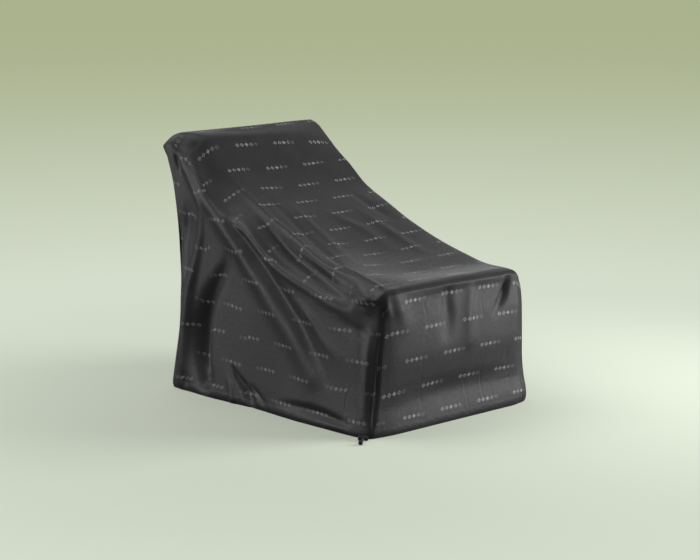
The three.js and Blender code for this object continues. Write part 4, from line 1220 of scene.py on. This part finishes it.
@dataclass
class StitchRows:
    """Rows of lock stitches on the cloth, in millimetres: Geometry Nodes arch a thread over each pitch."""

    pitch: float = 4.6
    length: float = 3.3
    width: float = 0.8
    height: float = 0.6
    seed: int = 7

    def build(self, name: str, rows: list, thread: Material) -> Object:
        """Sews the rows.

        Args:
            name: The piece's name.
            rows: A pair for each row: its points on the cloth in metres, and the outward normals there.
            thread: The thread's material.

        Returns:
            The stitches as one plain mesh.
        """
        mesh = bpy.data.meshes.new(f"{name}_lines")
        points, normals = (np.vstack(part) for part in zip(*rows))
        ends = np.cumsum([len(row[0]) for row in rows])
        edges = [(i, i + 1) for i in range(len(points) - 1) if i + 1 not in ends]
        mesh.from_pydata(points.tolist(), edges, [])
        mesh.attributes.new("outwards", "FLOAT_VECTOR", "POINT").data.foreach_set("vector", normals.ravel())
        piece = bpy.data.objects.new(name, mesh)
        bpy.context.scene.collection.objects.link(piece)
        modifier = piece.modifiers.new("stitches", "NODES")
        modifier.node_group = self.tree(thread)
        sizes = {"Pitch": self.pitch * MM, "Length": self.length * MM, "Width": self.width * MM,
                 "Height": self.height * MM, "Seed": self.seed}
        for item in modifier.node_group.interface.items_tree:
            if item.in_out == "INPUT" and item.name in sizes:
                modifier[item.identifier] = sizes[item.name]
        evaluated = piece.evaluated_get(bpy.context.evaluated_depsgraph_get())
        sewn = bpy.data.meshes.new_from_object(evaluated)
        piece.modifiers.clear()
        piece.data = sewn
        return piece

    def tree(self, thread: Material) -> bpy.types.NodeTree:
        """Builds the node tree that sets a stitch at each pitch along the rows.

        Args:
            thread: The thread's material.

        Returns:
            The tree.
        """
        tree = bpy.data.node_groups.new("stitch_rows", "GeometryNodeTree")
        tree.interface.new_socket("Rows", in_out="INPUT", socket_type="NodeSocketGeometry")
        for name in ("Pitch", "Length", "Width", "Height"):
            tree.interface.new_socket(name, in_out="INPUT", socket_type="NodeSocketFloat")
        tree.interface.new_socket("Seed", in_out="INPUT", socket_type="NodeSocketInt")
        tree.interface.new_socket("Stitches", in_out="OUTPUT", socket_type="NodeSocketGeometry")
        n = NodeBuilder(tree)
        given = tree.nodes.new("NodeGroupInput").outputs
        lines = n.node("GeometryNodeMeshToCurve", None, Mesh=given["Rows"]).outputs["Curve"]
        marks = n.node("GeometryNodeResampleCurve", {"mode": "LENGTH"}, Curve=lines, Length=given["Pitch"])
        half, dip = n.times(given["Length"], 0.5), n.times(given["Height"], -0.5)
        start, middle, end = (
            n.node("ShaderNodeCombineXYZ", None, **place).outputs[0]
            for place in ({"X": n.times(half, -1.0), "Z": dip}, {"Z": n.times(given["Height"], 1.5)},
                          {"X": half, "Z": dip})
        )
        points = {"Start": start, "Middle": middle, "End": end}
        arch = n.node("GeometryNodeCurveQuadraticBezier", None, Resolution=3, **points)
        radius = n.times(given["Width"], 0.5)
        ring = n.node("GeometryNodeCurvePrimitiveCircle", None, Resolution=6, Radius=radius)
        stitch = n.node("GeometryNodeCurveToMesh", None, Curve=arch.outputs["Curve"],
                        Profile_Curve=ring.outputs["Curve"], Fill_Caps=True)
        stitch = n.node("GeometryNodeSetShadeSmooth", None, Geometry=stitch.outputs["Mesh"])
        heading = tree.nodes.new("GeometryNodeInputTangent").outputs["Tangent"]
        outwards = n.node("GeometryNodeInputNamedAttribute", {"data_type": "FLOAT_VECTOR"}, Name="outwards")
        turn = n.node("FunctionNodeAxesToRotation", {"primary_axis": "X", "secondary_axis": "Z"},
                      Primary_Axis=heading, Secondary_Axis=outwards.outputs["Attribute"])
        size = n.node("FunctionNodeRandomValue", {"data_type": "FLOAT_VECTOR"},
                      Seed=given["Seed"], Min=(0.93,) * 3, Max=(1.05,) * 3)
        placed = n.node("GeometryNodeInstanceOnPoints", None, Points=marks.outputs["Curve"],
                        Instance=stitch.outputs["Geometry"], Rotation=turn.outputs["Rotation"],
                        Scale=size.outputs["Value"])
        real = n.node("GeometryNodeRealizeInstances", None, Geometry=placed.outputs["Instances"])
        sewn = n.node("GeometryNodeSetMaterial", None, Geometry=real.outputs["Geometry"], Material=thread)
        tree.links.new(sewn.outputs["Geometry"], tree.nodes.new("NodeGroupOutput").inputs["Stitches"])
        return tree


class Cut(NamedTuple):
    """A panel's cut: its solid's node, the flat size in metres, and the area if not all of that is used."""

    node: str
    flat: tuple
    area: float | None = None


CUTS = {
    "centre": Cut("centre_panel", (0.64, 2.06)),
    "left": Cut("left_side_panel", (0.92, 0.76), 0.43),
    "right": Cut("right_side_panel", (0.92, 0.76), 0.43),
}


@dataclass
class Cover:
    """The cover: its three panels and the stitching of its seams and hem."""

    seam_rows: tuple = (4.5, 12.0)
    hem_row: float = 24

    def build(self) -> list:
        """Makes the panels and the stitches.

        Returns:
            The pieces made.
        """
        cloth = CoverCloth()
        panels = cloth.build()
        normals = cloth.shared_normals(panels)
        finish = CoatedCloth().build()
        pieces = self.stitches(cloth, panels, normals)
        for name, cut in CUTS.items():
            piece = declare(sheet_object(cloth, panels[name], normals[name], finish), cut.node)
            pieces.append(piece)
        return pieces

    def stitches(self, cloth: CoverCloth, panels: dict, normals: dict) -> list:
        """Sews two rows beside each seam of the centre panel, and the drawcord's channel round the hem.

        Args:
            cloth: The cover's cloth.
            panels: Its panels by name.
            normals: Their outward normals by name.

        Returns:
            The stitches of the seams and of the hem.
        """
        grid, normal = panels["centre"].grid, normals["centre"]
        sides = [(grid[1:-1, ::turn], normal[1:-1, ::turn]) for turn in (1, -1)]
        seams = [cloth.inset_row(*side, distance) for side in sides for distance in self.seam_rows]
        bands = [(panel.grid, normals[name]) for name, panel in panels.items()] + [(grid[::-1], normal[::-1])]
        hems = [
            cloth.inset_row(band.transpose(1, 0, 2), out.transpose(1, 0, 2), self.hem_row)
            for band, out in bands
        ]
        thread = Thread().build()
        rows = {"seam_stitches": seams, "hem_stitches": hems}
        return [declare(StitchRows().build(name, lines, thread)) for name, lines in rows.items()]


def main() -> None:
    """Builds the studio, the drawcord's end and the cover in order, and reports the pieces."""
    studio = Studio()
    studio.camera()
    pieces = DrawcordEnd().build() + Cover().build()
    LOG.info("%d pieces made", len(pieces))
    studio.floor()
    studio.light()


if __name__ == "__main__":
    logging.basicConfig(level=logging.INFO)
    main()
